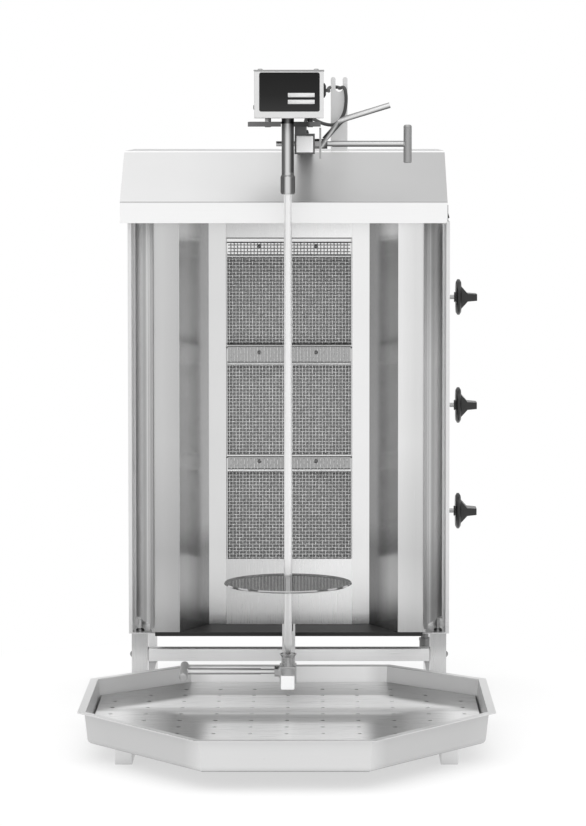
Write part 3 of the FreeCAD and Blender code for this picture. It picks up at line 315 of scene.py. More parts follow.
def new_group(name, inputs, outputs):
    """Empty shader node group with named inputs and outputs."""
    group = bpy.data.node_groups.new(name, "ShaderNodeTree")
    for label, kind, default in inputs:
        socket = group.interface.new_socket(label, in_out="INPUT",
                                            socket_type="NodeSocket" + kind)
        if default is not None:
            socket.default_value = default
    for label, kind in outputs:
        group.interface.new_socket(label, in_out="OUTPUT",
                                   socket_type="NodeSocket" + kind)
    return group, group.nodes.new("NodeGroupInput"), group.nodes.new("NodeGroupOutput")


def brushed_group():
    """Brush marks: noise drawn out along the grain, with slower clouding of the sheet."""
    group, given, result = new_group(
        "Brushed grain",
        [("Vector", "Vector", None), ("Along", "Vector", PLAIN), ("Cloud Size", "Float", 9.0)],
        [("Marks", "Float"), ("Cloud", "Float")])
    place = given.outputs["Vector"]
    stretch = add_node(group, "VectorMath", {0: place, 1: given.outputs["Along"]},
                       operation="MULTIPLY")
    marks = add_node(group, "TexNoise",
                     {"Vector": stretch.outputs[0], "Scale": 1.0, "Detail": 4.0,
                      "Roughness": 0.65})
    cloud = add_node(group, "TexNoise",
                     {"Vector": place, "Scale": given.outputs["Cloud Size"], "Detail": 2.0})
    feed(group, result.inputs["Marks"], marks.outputs["Fac"])
    feed(group, result.inputs["Cloud"], cloud.outputs["Fac"])
    return group


def tinted_group():
    """Colour made lighter and darker by two masks, each by its share about the middle."""
    group, given, result = new_group(
        "Tint by masks",
        [("Colour", "Color", None), ("Marks", "Float", 0.5),
         ("Cloud", "Float", 0.5), ("Mark Share", "Float", 0.1),
         ("Cloud Share", "Float", 0.1)],
        [("Colour", "Color")])
    marks, cloud = (math_node(group, "MULTIPLY",
                              math_node(group, "SUBTRACT", given.outputs[mask], 0.5),
                              given.outputs[share])
                    for mask, share in (("Marks", "Mark Share"), ("Cloud", "Cloud Share")))
    factor = math_node(group, "ADD", math_node(group, "ADD", marks, cloud), 1.0)
    scale = add_node(group, "VectorMath",
                     {0: given.outputs["Colour"], "Scale": factor}, operation="SCALE")
    feed(group, result.inputs["Colour"], scale.outputs[0])
    return group


def grit_group():
    """Fine grit: a small noise as a mask, for moulded plastic, ceramic and cast surfaces."""
    group, given, result = new_group(
        "Fine grit",
        [("Vector", "Vector", None), ("Scale", "Float", 900.0)],
        [("Grit", "Float")])
    noise = add_node(group, "TexNoise",
                     {"Vector": given.outputs["Vector"], "Scale": given.outputs["Scale"],
                      "Detail": 3.0})
    feed(group, result.inputs["Grit"], noise.outputs["Fac"])
    return group


groups = {}


def use_group(tree, maker, inputs):
    """Node of a shader group that finishes share, built on first use."""
    if maker not in groups:
        groups[maker] = maker()
    return add_node(tree, "Group", inputs, node_tree=groups[maker])


# Tones


def levels(*pairs):
    """Stops for band_colour from a flat list of place, grey level, place, grey level."""
    return [(place, grey(level)) for place, level in zip(pairs[::2], pairs[1::2])]


def factors(*pairs):
    """The same from multipliers, where 1 leaves a tone as it is."""
    return [(place, (factor,) * 3) for place, factor in zip(pairs[::2], pairs[1::2])]


def mirrored(stops, sign):
    """The same stops, or for sign -1 those on the other side of the middle."""
    return sorted((sign * place, colour) for place, colour in stops)


def along_axis(tree, place, axis):
    """Place along X, Y or Z, or along a direction given as three numbers."""
    if isinstance(axis, tuple):
        return add_node(tree, "VectorMath", {0: place, 1: axis},
                        operation="DOT_PRODUCT").outputs["Value"]
    return add_node(tree, "SeparateXYZ", {0: place}).outputs[axis]


def band_colour(tree, place, axis, stops):
    """Colour that changes along an axis or direction: stops are (place in metres, colour)."""
    first, last = stops[0][0], stops[-1][0]
    along = along_axis(tree, place, axis)
    ranged = add_node(tree, "MapRange",
                      {"From Min": first, "From Max": last, "Value": along})
    ramp = add_node(tree, "ValToRGB", {0: ranged.outputs[0]})
    elements = ramp.color_ramp.elements
    elements[0].position, elements[0].color = 0.0, (*stops[0][1], 1)
    elements[1].position, elements[1].color = 1.0, (*stops[-1][1], 1)
    for where, colour in stops[1:-1]:
        elements.new((where - first) / (last - first)).color = (*colour, 1)
    return ramp.outputs["Color"]


def tones(tree, place, axis, *pairs):
    """Greys along an axis, from a flat list of place and level in turn."""
    return band_colour(tree, place, axis, levels(*pairs))


def pick_by_place(tree, place, axis, limits, colours, sign=1, soft=0.0):
    """Colour by zones along an axis: past each limit, over a soft width, the next takes over."""
    along = math_node(tree, "MULTIPLY", along_axis(tree, place, axis), float(sign))
    result = colours[0]
    for limit, colour in zip(limits, colours[1:]):
        if soft:
            share = add_node(tree, "MapRange",
                             {"Value": along, "From Min": limit - soft / 2,
                              "From Max": limit + soft / 2},
                             interpolation_type="SMOOTHSTEP").outputs[0]
        else:
            share = math_node(tree, "GREATER_THAN", along, limit)
        result = mix_colours(tree, share, result, colour)
    return result


# Finishes


def start_material(name):
    """Material with a shader and object coordinates, returned with its tree and both of them."""
    material = bpy.data.materials.new(name)
    material.use_nodes = True
    tree = material.node_tree
    place = tree.nodes.new("ShaderNodeTexCoord").outputs["Object"]
    return material, tree, tree.nodes["Principled BSDF"], place


def colour_surface(tree, shader, place, colour, light_and_shade_bands, masks, bump, depth):
    """Base colour with its tone bands of painted light and shade, moved by the masks, and a bump
    from the marks.

    The colour is three numbers or a function of the tree and the place.
    """
    base = colour(tree, place) if callable(colour) else tuple(colour)
    for axis, stops in light_and_shade_bands:
        base = multiply_colour(tree, base, band_colour(tree, place, axis, stops))
    tint = use_group(tree, tinted_group, {"Colour": base, **masks})
    relief = add_node(tree, "Bump",
                      {"Strength": bump, "Distance": depth, "Height": masks["Marks"]})
    feed(tree, shader.inputs["Base Color"], tint.outputs["Colour"])
    feed(tree, shader.inputs["Normal"], relief.outputs[0])


def steel(name, colour, roughness=0.3, grain="Z", marks=0.10, cloud=0.08, bump=0.25, light_and_shade_bands=(),
          cloud_size=9.0, metal=1.0):
    """Brushed steel: marks drawn out along its grain, slow clouding and bands of tone that paint
    light and shade.
    """
    settings = bpy.context.scene.grill_steel
    material, tree, shader, place = start_material(name)
    fine, long = 1 / settings.grain_width, 1 / settings.grain_length
    along = {"X": (long, fine, fine), "Y": (fine, long, fine), "Z": (fine, fine, long),
             "none": (fine / 4, fine / 4, fine / 4)}[grain]
    brush = use_group(tree, brushed_group,
                      {"Vector": place, "Along": along, "Cloud Size": cloud_size})
    masks = {"Marks": brush.outputs["Marks"], "Cloud": brush.outputs["Cloud"],
             "Mark Share": marks, "Cloud Share": cloud}
    colour_surface(tree, shader, place, colour, light_and_shade_bands, masks, bump, MARK_DEPTH)
    uneven = math_node(tree, "MULTIPLY",
                       math_node(tree, "SUBTRACT", brush.outputs["Marks"], 0.5), 0.25)
    feed(tree, shader.inputs["Roughness"], math_node(tree, "ADD", uneven, roughness, clamp=True))
    feed(tree, shader.inputs["Metallic"], metal)
    return material


def moulded(name, colour, roughness=0.4, scale=900.0, bump=0.15, light_and_shade_bands=(), share=0.15):
    """Matt or satin surface with a fine grit: plastic, rubber, enamel or ceramic."""
    material, tree, shader, place = start_material(name)
    grit = use_group(tree, grit_group, {"Vector": place, "Scale": scale})
    masks = {"Marks": grit.outputs["Grit"], "Mark Share": share, "Cloud Share": 0.0}
    colour_surface(tree, shader, place, colour, light_and_shade_bands, masks, bump, GRIT_DEPTH)
    feed(tree, shader.inputs["Roughness"], roughness)
    return material


def paint(material, *names):
    """Gives nodes one finish."""
    for name in names:
        slots = nodes[name].data.materials
        slots.clear()
        slots.append(material)


def fit(piece, body, material, replaces=()):
    """New piece on its body, with its finish and the nodes that it stands for."""
    piece.data.materials.clear()
    piece.data.materials.append(material)
    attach(piece, body)
    if replaces:
        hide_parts(*replaces)
    return piece


# Operators, one for each group of pieces


class GRILL_OT_frame(bpy.types.Operator):
    """Finishes the frame's tubes, bolts and bushes"""

    bl_idname = "grill.finish_frame"
    bl_label = "Frame"

    def execute(self, context):
        rails = ("base_rail_left", "base_rail_right")
        posts = ("front_post_left", "front_post_right", "rear_posts")
        # The three tube greys are lit and shaded copies of one steel, painted light by the way each
        # tube runs.
        paint(steel("Frame tube along Y", grey(214), 0.32, "Y"), *rails)
        foot_shade = factors(0.02, 1.0, 0.082, 1.0, 0.1, 0.78, 0.125, 0.66)
        paint(steel("Frame tube along Z", grey(236), 0.3, "Z", light_and_shade_bands=[(Z, foot_shade)]), *posts)
        paint(steel("Frame tube along X", grey(252), 0.32, "X"), "crossbars")
        paint(steel("Machined bolts", grey(150), 0.3, "none", marks=0.2), "frame_bolts",
              "hinge_bushes")
        soften(0.0012, *rails, *posts, "crossbars")
        return {"FINISHED"}


class GRILL_OT_body(bpy.types.Operator):
    """Finishes the pan, the side and back panels, the reflectors and the hood"""

    bl_idname = "grill.finish_body"
    bl_label = "Body"

    def reflector_painted_light(self, sign, strip, splay_in, splay_out, splay_mid, column_in, column_out):
        """Painted reflections on the strip, splay, column and side leg from the middle outwards,
        each with painted shade falling in Z.
        """

        def tone(tree, place):
            def zone(stops, *painted_shade_falls):
                return multiply_colour(tree, band_colour(tree, place, X, mirrored(stops, sign)),
                                       band_colour(tree, place, Z, factors(*painted_shade_falls)))

            strips = zone([(0.0985, strip), (0.1262, strip)],
                          0.127, 0.95, 0.17, 1.05, 0.25, 0.97, 0.34, 0.98, 0.76, 1.0)
            splays = zone([(0.1262, splay_in), (0.14, splay_mid), (0.158, splay_out),
                           (0.1686, splay_out)],
                          0.127, 0.6, 0.2, 0.66, 0.25, 0.56, 0.29, 0.95, 0.36, 1.0, 0.76, 1.0)
            columns = zone([(0.1686, column_in), (0.195, column_out), (0.211, column_out)],
                           0.127, 0.94, 0.165, 0.9, 0.2, 0.86, 0.25, 0.78, 0.33, 0.86,
                           0.42, 0.97, 0.76, 1.0)
            return pick_by_place(tree, place, X, (0.1257, 0.1687, 0.2109),
                                 (strips, splays, columns, grey(246)), sign)

        return tone

    def execute(self, context):
        settings = context.scene.grill_steel
        sides = ("side_panel_left", "side_panel_right")
        paint(moulded("Dark base pan", grey(32), 0.6, 300.0), "base_pan")
        paint(steel("Side sheet", settings.sheet, 0.3, "Y", metal=0.85), *sides, "back_panel")
        # Each side's greys are painted reflections, and the two sides are lit and shaded copies of
        # one steel.
        for side, sign, shades in (("left", -1, (219, 200, 245, 196, 191, 200)),
                                   ("right", 1, (238, 152, 222, 160, 233, 220))):
            paint(steel("Reflector " + side, self.reflector_painted_light(sign, *map(grey, shades)), 0.21,
                        "Z", marks=0.08, cloud=0.06), "reflector_" + side)
        # Painted shade across the burner panel, darker towards the left.
        across = levels(-0.0985, 214, -0.039, 226, 0.017, 246, 0.0985, 252)
        paint(steel("Burner panel", PLAIN, 0.3, "Z", light_and_shade_bands=[(X, across)]), "burner_panel")
        fascia = settings.fascia

        def hood_painted_light(tree, place):
            """Even fascia, painted shade along the fold line, above it a slope whose painted
            reflection darkens to the right, and a painted highlight along the ridge.
            """
            slope = tones(tree, place, X, -0.256, 229, -0.16, 228, -0.05, 220, 0.0, 210,
                          0.05, 201, 0.242, 193)
            low = band_colour(tree, place, Z, [(0.762, fascia), (0.7925, fascia),
                                               *levels(0.7938, 176, 0.7946, 176)])
            return pick_by_place(tree, place, Z, (0.7946, 0.8682), (low, slope, grey(252)))

        paint(steel("Hood sheet", hood_painted_light, 0.42, "X", marks=0.06, cloud=0.03), "hood")
        soften(0.0005, *sides, "reflector_left", "reflector_right")
        soften(0.0006, "hood")
        soften(0.001, "base_pan")
        return {"FINISHED"}


class GRILL_OT_burners(bpy.types.Operator):
    """Weaves the wire in front of each burner and finishes the housings and plaques"""

    bl_idname = "grill.weave_burners"
    bl_label = "Burners"

    def woven(self, x0, x1, z0, z1, y, settings, level=True):
        """Upright wires, and level ones between them, over a field centred on whole pitches."""
        pitch = settings.pitch
        columns = int((x1 - x0) / pitch)
        rows = int((z1 - z0) / pitch)
        start = (x0 + x1 - (columns - 1) * pitch) / 2
        base = (z0 + z1 - (rows - 1) * pitch) / 2
        layers = [wires((start, y, z0), (1, 0, 0), (0, 0, 1), (0, 1, 0), columns, z1 - z0,
                        settings, (z0 - base) / pitch + 0.5)]
        if level:
            layers.append(wires((x0, y, base), (0, 0, 1), (1, 0, 0), (0, 1, 0), rows, x1 - x0,
                                settings, (x0 - start) / pitch - 0.5))
        return layers

    def execute(self, context):
        settings = context.scene.grill_weave
        wire = steel("Burner wire", grey(228), 0.28, "none", marks=0.5, cloud=0.9, bump=0.1,
                     cloud_size=170.0)
        light_wire = steel("Band wire", grey(228), 0.35, "none", marks=0.3)
        dark_wire = steel("Upper band wire", grey(176), 0.4, "none", marks=0.5, cloud=0.4,
                          cloud_size=200.0)
        paint(steel("Burner housing", grey(225), 0.3, "X"), "burner_housing_1",
              "burner_housing_2", "burner_housing_3")
        paint(moulded("Ceramic plaque", grey(150), 0.75, 640.0, 0.3, share=1.2), "burner_plaques")
        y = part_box("burner_meshes")[0][Y] + settings.radius + settings.crimp
        screw_head = [(0.0001, -0.0024), (0.0022, -0.0022), (0.003, -0.001), (0.003, 0.0008)]
        margin = bead = 0.0016
        band_height, cover_gap = 0.02, 0.0021
        screws = []
        for burner, below, above, drop in ((1, 0.0013, 0.0015, 0.005), (2, 0.006, 0.0045, 0.0064),
                                           (3, 0.0098, -0.0005, 0.0122)):
            low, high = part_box("burner_housing_%d" % burner)
            x0, x1, front = low[X] + margin, high[X] - margin, low[Y]
            weave = self.woven(x0, x1, low[Z] + 0.0035, high[Z] - 0.0022, y, settings)
            fit(join_pieces("burner_weave_%d" % burner, weave), "base", wire,
                ["burner_meshes"])
            foot, head = high[Z] - band_height - below, high[Z] + above
            top = burner == 3
            # Bead and wall greys are lighter on the top band and darker on the lower ones as
            # painted light and shade, and the dark level 60 just above the bead paints shade in the
            # crease.
            bead_shade, wall_shade = (226, 240) if top else (236, 168)
            tone = levels(foot, bead_shade, foot + 0.0034, bead_shade, foot + 0.0036, 60,
                          foot + 0.0048, 60, foot + 0.005, wall_shade, head, wall_shade)
            band = steel("Burner band %d" % burner, PLAIN, 0.3, "X", light_and_shade_bands=[(Z, tone)])
            fit(outward(rolled_strip("burner_band_%d" % burner, x0, x1, front, foot, head,
                                     bead)), "base", band)
            edge = 0.0062 if top else 0.002
            cover = self.woven(x0 + 0.001, x1 - 0.001, foot + 0.0045, head - edge,
                               front - cover_gap, settings, level=top)
            fit(join_pieces("burner_cover_%d" % burner, cover), "base",
                dark_wire if top else light_wire)
            screws += [turned_part(screw_head, (x, front - 0.0018, high[Z] - drop), (0, 1, 0), 16)
                       for x in (-0.0466, 0.042)]
        fit(outward(join_pieces("burner_screws", screws)), "base",
            steel("Burner screw", grey(110), 0.35, "none"))
        # Thin dark slabs in front of the seams and the panel's edge, which paint the shade in these
        # gaps.
        gap_shade_slabs = [rounded_slab(x1 - x0 + 0.002, height, 0.0012, 0.0003, (0, front, z), 2)
                for z, height in ((0.7342, 0.0019), (0.7274, 0.0018), (0.5683, 0.0018),
                                  (0.5641, 0.0008), (0.3912, 0.001))]
        fit(outward(join_pieces("burner_gap_shade", gap_shade_slabs)), "base",
            moulded("Burner gap shade", grey(26), 0.6, 500.0))
        return {"FINISHED"}


class GRILL_OT_gas(bpy.types.Operator):
    """Finishes the inlet, the manifold, the valves, the pipes and the spindles"""

    bl_idname = "grill.finish_gas"
    bl_label = "Gas train"

    def execute(self, context):
        paint(steel("Gas pipe", grey(170), 0.35, "Z"), "gas_manifold", "burner_feed_pipes")
        paint(steel("Machined brass", (0.62, 0.46, 0.2), 0.28, "none", marks=0.15),
              "gas_valves", "valve_core_1", "valve_core_2", "valve_core_3")
        paint(steel("Inlet fitting", grey(120), 0.32, "none", marks=0.2), "gas_inlet")
        paint(steel("Spindle steel", grey(168), 0.22, "X"), "spindle_1", "spindle_2", "spindle_3")
        return {"FINISHED"}


class GRILL_OT_knobs(bpy.types.Operator):
    """Finishes the black knobs"""

    bl_idname = "grill.finish_knobs"
    bl_label = "Knobs"

    def execute(self, context):
        knobs = ("knob_1", "knob_2", "knob_3")
        paint(moulded("Black knob", grey(34), 0.3, 700.0, 0.12, share=0.3), *knobs)
        soften(0.0012, *knobs, angle=40.0, segments=3)
        return {"FINISHED"}


class GRILL_OT_switch(bpy.types.Operator):
    """Finishes the rocker switch"""

    bl_idname = "grill.finish_switch"
    bl_label = "Switch"

    def execute(self, context):
        paint(moulded("Switch plastic", grey(22), 0.4), "switch_bezel", "switch_rocker")
        soften(0.0006, "switch_bezel", "switch_rocker")
        return {"FINISHED"}


class GRILL_OT_wings(bpy.types.Operator):
    """Finishes the hinged side wings"""

    bl_idname = "grill.finish_wings"
    bl_label = "Wings"

    def execute(self, context):
        # Painted shade: darker at the front edge, along the fold and towards the foot, with the
        # left wing painted lighter at its top and the right one darker at its top and foot.
        edge = factors(0.1026, 0.72, 0.1088, 0.7, 0.1115, 0.66, 0.112, 1.0, 0.19, 1.0)
        fold = factors(0.2156, 0.62, 0.2172, 0.66, 0.2187, 0.55, 0.2203, 0.44, 0.2218, 0.42,
                       0.2234, 0.44, 0.2249, 0.5, 0.2265, 0.62, 0.228, 0.74, 0.2296, 0.92,
                       0.2311, 1.0, 0.24, 1.0)
        left = factors(0.17, 0.78, 0.22, 0.875, 0.295, 0.934, 0.391, 0.962, 0.546, 1.0,
                       0.686, 1.13)
        right = factors(0.17, 0.5, 0.22, 0.67, 0.295, 0.945, 0.391, 0.98, 0.546, 1.0,
                        0.686, 0.67)
        for side, sign, shade_fall in (("left", -1, left), ("right", 1, right)):
            light_and_shade_bands = [(Z, shade_fall), (Y, edge), (X, mirrored(fold, sign))]
            paint(steel("Wing " + side, PLAIN, 0.5, "Z", marks=0.06, cloud=0.04, light_and_shade_bands=light_and_shade_bands,
                        metal=0.2), "wing_" + side)
        return {"FINISHED"}


class GRILL_OT_arms(bpy.types.Operator):
    """Finishes both arms, their caps, the carriage, the slider, the clamps and the fork post"""

    bl_idname = "grill.finish_arms"
    bl_label = "Arms and clamps"

    def execute(self, context):
        paint(steel("Arm tube", context.scene.grill_steel.tube, 0.32, "Y"), "upper_arm",
              "lower_arm")
        paint(moulded("White cap", grey(250), 0.45), "arm_caps")
        # Painted shade at the front of the carriage sleeve, round the cap.
        mouth_shade = factors(0.0255, 0.3, 0.029, 0.3, 0.031, 0.9, 0.096, 0.9)
        paint(steel("Carriage steel", grey(176), 0.32, "Y", marks=0.2, light_and_shade_bands=[(Y, mouth_shade)]),
              "carriage_sleeve")
        paint(steel("Slider steel", grey(190), 0.32, "Y", marks=0.2), "lower_slider")

        def plate(tree, place):
            """Plate with painted shade under the box, and a painted highlight on the stand-off at
            its left end.
            """
            sheet = tones(tree, place, X, -0.0585, 114, -0.02, 100, 0.003, 95, 0.012, 66,
                          0.03, 62, 0.034, 98, 0.049, 110)
            bolts = tones(tree, place, X, -0.0385, 110, -0.032, 235, -0.0255, 110, 0.02, 60,
                          0.049, 90)
            return pick_by_place(tree, place, Z, (0.9161,), (sheet, bolts))

        paint(steel("Motor plate", plate, 0.4, "X"), "motor_plate")

        def upper_clamp(tree, place):
            """Painted shade on the underside and a painted highlight along the core of the screw,
            and a plain T-bar at its end.
            """
            screw = tones(tree, place, Z, 0.8775, 80, 0.8795, 100, 0.8815, 190, 0.8838, 236,
                          0.8858, 150, 0.8873, 140)
            return pick_by_place(tree, place, X, (0.1746,), (screw, grey(166)))

        def lower_clamp(tree, place):
            """The same painted shade and highlight for the lower screw, whose T-bar is at the other
            end.
            """
            screw = tones(tree, place, Z, 0.0837, 110, 0.0853, 130, 0.0875, 225, 0.0895, 245,
                          0.0915, 160, 0.0933, 110)
            return pick_by_place(tree, place, X, (-0.1507,), (grey(190), screw))

        def lever(tree, place):
            """Painted shade and highlight across the bent rod, square to each of its two straight
            lengths.
            """
            steep = tones(tree, place, (-0.8387, 0.0, 0.5446), 0.4305, 80, 0.4328, 110,
                          0.435, 215, 0.4372, 150, 0.4398, 90)
            shallow = tones(tree, place, (-0.3024, 0.0, 0.9532), 0.846, 90, 0.848, 140,
                            0.8498, 215, 0.8515, 240, 0.8535, 175, 0.8548, 130)
            return pick_by_place(tree, place, X, (0.0755,), (steep, shallow))

        for name, tone, node in (("Upper clamp", upper_clamp, "upper_clamp_handle"),
                                 ("Lower clamp", lower_clamp, "lower_clamp_handle"),
                                 ("Lever", lever, "bent_lever")):
            paint(steel(name, tone, 0.5, "X", marks=0.15), node)
        paint(steel("Fork post", grey(222), 0.34, "Z"), "fork_post")
        soften(0.0026, "arm_caps", segments=3)
        soften(0.0005, "upper_arm", "lower_arm", "carriage_sleeve", "lower_slider",
               "motor_plate", "fork_post")
        return {"FINISHED"}


class GRILL_OT_motor(bpy.types.Operator):
    """Finishes the motor box and fits its bare plate, its strips and its screws"""

    bl_idname = "grill.dress_motor"
    bl_label = "Motor box"

    def execute(self, context):
        settings = context.scene.grill_plate
        paint(steel("Motor box sheet", grey(226), 0.36, "X", cloud=0.12), "motor_box")
        # Painted shade along the lid's lower edge.
        lid_edge_shade = levels(0.985, 112, 0.9914, 112, 0.9918, 188, 0.993, 188)
        paint(steel("Lid sheet", PLAIN, 0.34, "X", light_and_shade_bands=[(Z, lid_edge_shade)]), "motor_box_lid")
        paint(moulded("Motor paint", grey(70), 0.5), "gear_motor")
        paint(moulded("Black rubber", grey(30), 0.6), "box_grommet")
        soften(0.001, "motor_box")
        soften(0.0006, "motor_box_lid")
        low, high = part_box("motor_box")
        centre = (0.0029, low[Y] + 0.0001, 0.96)
        # The plate's bands paint a reflection that grows lighter towards its foot.
        black = moulded("Plate", PLAIN, 0.3, 500.0, 0.05, share=0.1,
                        light_and_shade_bands=[(Z, levels(0.932, 44, 0.955, 30, 0.989, 20))])
        shader = black.node_tree.nodes["Principled BSDF"]
        shader.inputs["Specular IOR Level"].default_value = 0.2
        slab = rounded_slab(settings.width, settings.height, 0.0006, settings.corner, centre, 7)
        fit(outward(mesh_piece("motor_plate_label", *slab, False)), "carriage", black)
        strips = [rounded_slab(0.0395, 0.0062, 0.0003, 0.0005, (0.0203, centre[Y] - 0.0006, z), 3)
                  for z in (0.9555, 0.9455)]
        fit(outward(join_pieces("motor_plate_strips", strips)), "carriage",
            moulded("Light strip", grey(205), 0.5, 500.0, 0.05))
        head = [(0.0001, 0.0016), (0.0028, 0.0014), (0.0037, 0.0006), (0.0038, -0.0003)]
        screws = [turned_part(head, (x, y, high[Z] + 0.002), (0, 0, 1), 18)
                  for y in (low[Y] + 0.012, high[Y] - 0.012) for x in (-0.0405, 0.0425)]
        screws.append(turned_part(head, (low[X], low[Y] + 0.014, 0.9375), (-1, 0, 0), 18))
        fit(outward(join_pieces("motor_box_screws", screws)), "carriage",
            steel("Box screw", grey(150), 0.3, "none"))
        return {"FINISHED"}


class GRILL_OT_spit(bpy.types.Operator):
    """Finishes the drive sleeve, the spit, the disc and the cup"""

    bl_idname = "grill.finish_spit"
    bl_label = "Spit"

    def execute(self, context):
        def sleeve(tree, place):
            """Painted reflections in upright streaks round the sleeve and the wider coupling below,
            and painted shade at the top.
            """
            coupling = tones(tree, place, X, -0.011, 92, -0.0082, 104, -0.0052, 117,
                             -0.0038, 178, -0.0022, 212, 0.0022, 209, 0.0038, 153,
                             0.0052, 118, 0.0082, 106, 0.011, 86)
            tube = tones(tree, place, X, -0.0085, 95, -0.0068, 110, -0.0052, 127,
                         -0.0038, 166, -0.0022, 213, 0.0, 218, 0.0015, 205, 0.0022, 183,
                         0.0038, 130, 0.0052, 100, 0.0068, 75, 0.0085, 62)
            shaded = multiply_colour(tree, tube, (0.3, 0.3, 0.3))
            return pick_by_place(tree, place, Z, (0.8405, 0.9135), (coupling, tube, shaded))

        paint(steel("Drive sleeve", sleeve, 0.35, "Z", marks=0.12), "drive_sleeve")
        # Painted highlight at the bar's sides across X; the bar is also darker towards the bottom.
        across = levels(-0.006, 255, -0.003, 244, 0.0, 236, 0.003, 250, 0.006, 255)
        paint(steel("Spit bar", PLAIN, 0.4, "Z", marks=0.05,
                    light_and_shade_bands=[(X, across), (Z, factors(0.14, 0.82, 0.26, 1.0))]), "spit")
        paint(steel("Disc", grey(188), 0.1, "none", marks=0.05, cloud=0.1), "meat_disc")
        paint(steel("Cup", grey(180), 0.25, "none"), "spit_cup")
        return {"FINISHED"}


class GRILL_OT_tray(bpy.types.Operator):
    """Finishes the drip tray and its perforated plate"""

    bl_idname = "grill.finish_tray"
    bl_label = "Drip tray"

    def execute(self, context):
        def tray_painted_shade(tree, place):
            """Painted shade: a dark floor, walls darker to the sides and front, and a rim darker at
            the back.
            """
            shade_fall = factors(-0.482, 0.84, -0.3, 0.84, -0.12, 1.0, 0.15, 1.15)
            walls = multiply_colour(
                tree, tones(tree, place, X, -0.3, 204, -0.14, 207, -0.118, 226, 0.118, 226,
                            0.14, 207, 0.3, 204),
                band_colour(tree, place, Y, shade_fall))
            rim = tones(tree, place, Y, -0.482, 205, 0.05, 225, 0.11, 175, 0.15, 165)
            return pick_by_place(tree, place, Z, (0.0269, 0.0708), (grey(70), walls, rim))

        def plate_painted_reflections(tree, place):
            """Painted reflections: stripes across the tray, and dark corners beside the slanting
            walls.
            """
            tone = tones(tree, place, Y, -0.345, 230, -0.2235, 216, -0.2, 166, -0.1686, 150,
                         -0.1527, 164, -0.1367, 210, -0.1206, 194, -0.0963, 218, -0.08, 250,
                         0.0122, 248, 0.022, 176, 0.038, 182, 0.0726, 196, 0.1256, 216)
            for sign in (-1, 1):
                for wall, start, limit, depth, stops in (
                        ((sign * 0.667, 0.745, 0.0), 0.1, 0.148, -0.2, (0.15, 130, 0.28, 152)),
                        ((sign * 0.778, -0.628, 0.0), 0.215, 0.118, 0.118,
                         (0.118, 146, 0.165, 138, 0.2, 186, 0.25, 232))):
                    dark = band_colour(tree, place, X, mirrored(levels(*stops), sign))
                    corner = pick_by_place(tree, place, wall, (start,), (tone, dark), soft=0.03)
                    corner = pick_by_place(tree, place, Y, (depth,), (tone, corner), -1, 0.02)
                    tone = pick_by_place(tree, place, X, (limit,), (tone, corner), sign, 0.03)
            return tone

        paint(steel("Tray sheet", tray_painted_shade, 0.34, "X", marks=0.06, cloud=0.05, metal=0.6),
              "drip_tray")
        paint(steel("Perforated sheet", plate_painted_reflections, 0.3, "X", marks=0.06, cloud=0.05, metal=0.4),
              "perforated_plate")
        return {"FINISHED"}


class GRILL_OT_lead(bpy.types.Operator):
    """Routes the motor lead from the box, through the fork post and into the arm"""

    bl_idname = "grill.route_lead"
    bl_label = "Motor lead"

    def execute(self, context):
        route = [(0.0533, 0.006, 0.963), (0.0613, 0.006, 0.963), (0.0613, 0.099, 0.962),
                 (0.0613, 0.206, 0.9695), (0.078, 0.206, 0.9695), (0.078, 0.179, 0.9668),
                 (0.0865, 0.1644, 0.9705), (0.0894, 0.159, 0.9497), (0.0856, 0.1563, 0.9256),
                 (0.0722, 0.159, 0.9095), (0.052, 0.169, 0.9122), (0.033, 0.192, 0.9229),
                 (0.025, 0.201, 0.9209), (0.025, 0.201, 0.903)]
        curve = bpy.data.curves.new("lead_line", "CURVE")
        curve.dimensions = "3D"
        line = curve.splines.new("NURBS")
        line.points.add(len(route) - 1)
        for point, place in zip(line.points, route):
            point.co = (*place, 1)
        line.order_u = 3
        line.use_endpoint_u = True
        line.resolution_u = 8
        curve.bevel_depth = 0.0027
        curve.bevel_resolution = 4
        curve.use_fill_caps = True
        holder = bpy.data.objects.new("lead_holder", curve)
        context.scene.collection.objects.link(holder)
        context.view_layer.update()
        mesh = bpy.data.meshes.new_from_object(holder)
        bpy.data.objects.remove(holder)
        mesh.polygons.foreach_set("use_smooth", np.ones(len(mesh.polygons), bool))
        lead = bpy.data.objects.new("motor_cable", mesh)
        context.scene.collection.objects.link(lead)
        mesh.materials.clear()
        mesh.materials.append(moulded("Cable jacket", grey(62), 0.5, 600.0, 0.1))
        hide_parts("motor_lead")
        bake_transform(lead)
        paint(moulded("Gland plastic", grey(40), 0.45), "arm_gland")
        return {"FINISHED"}


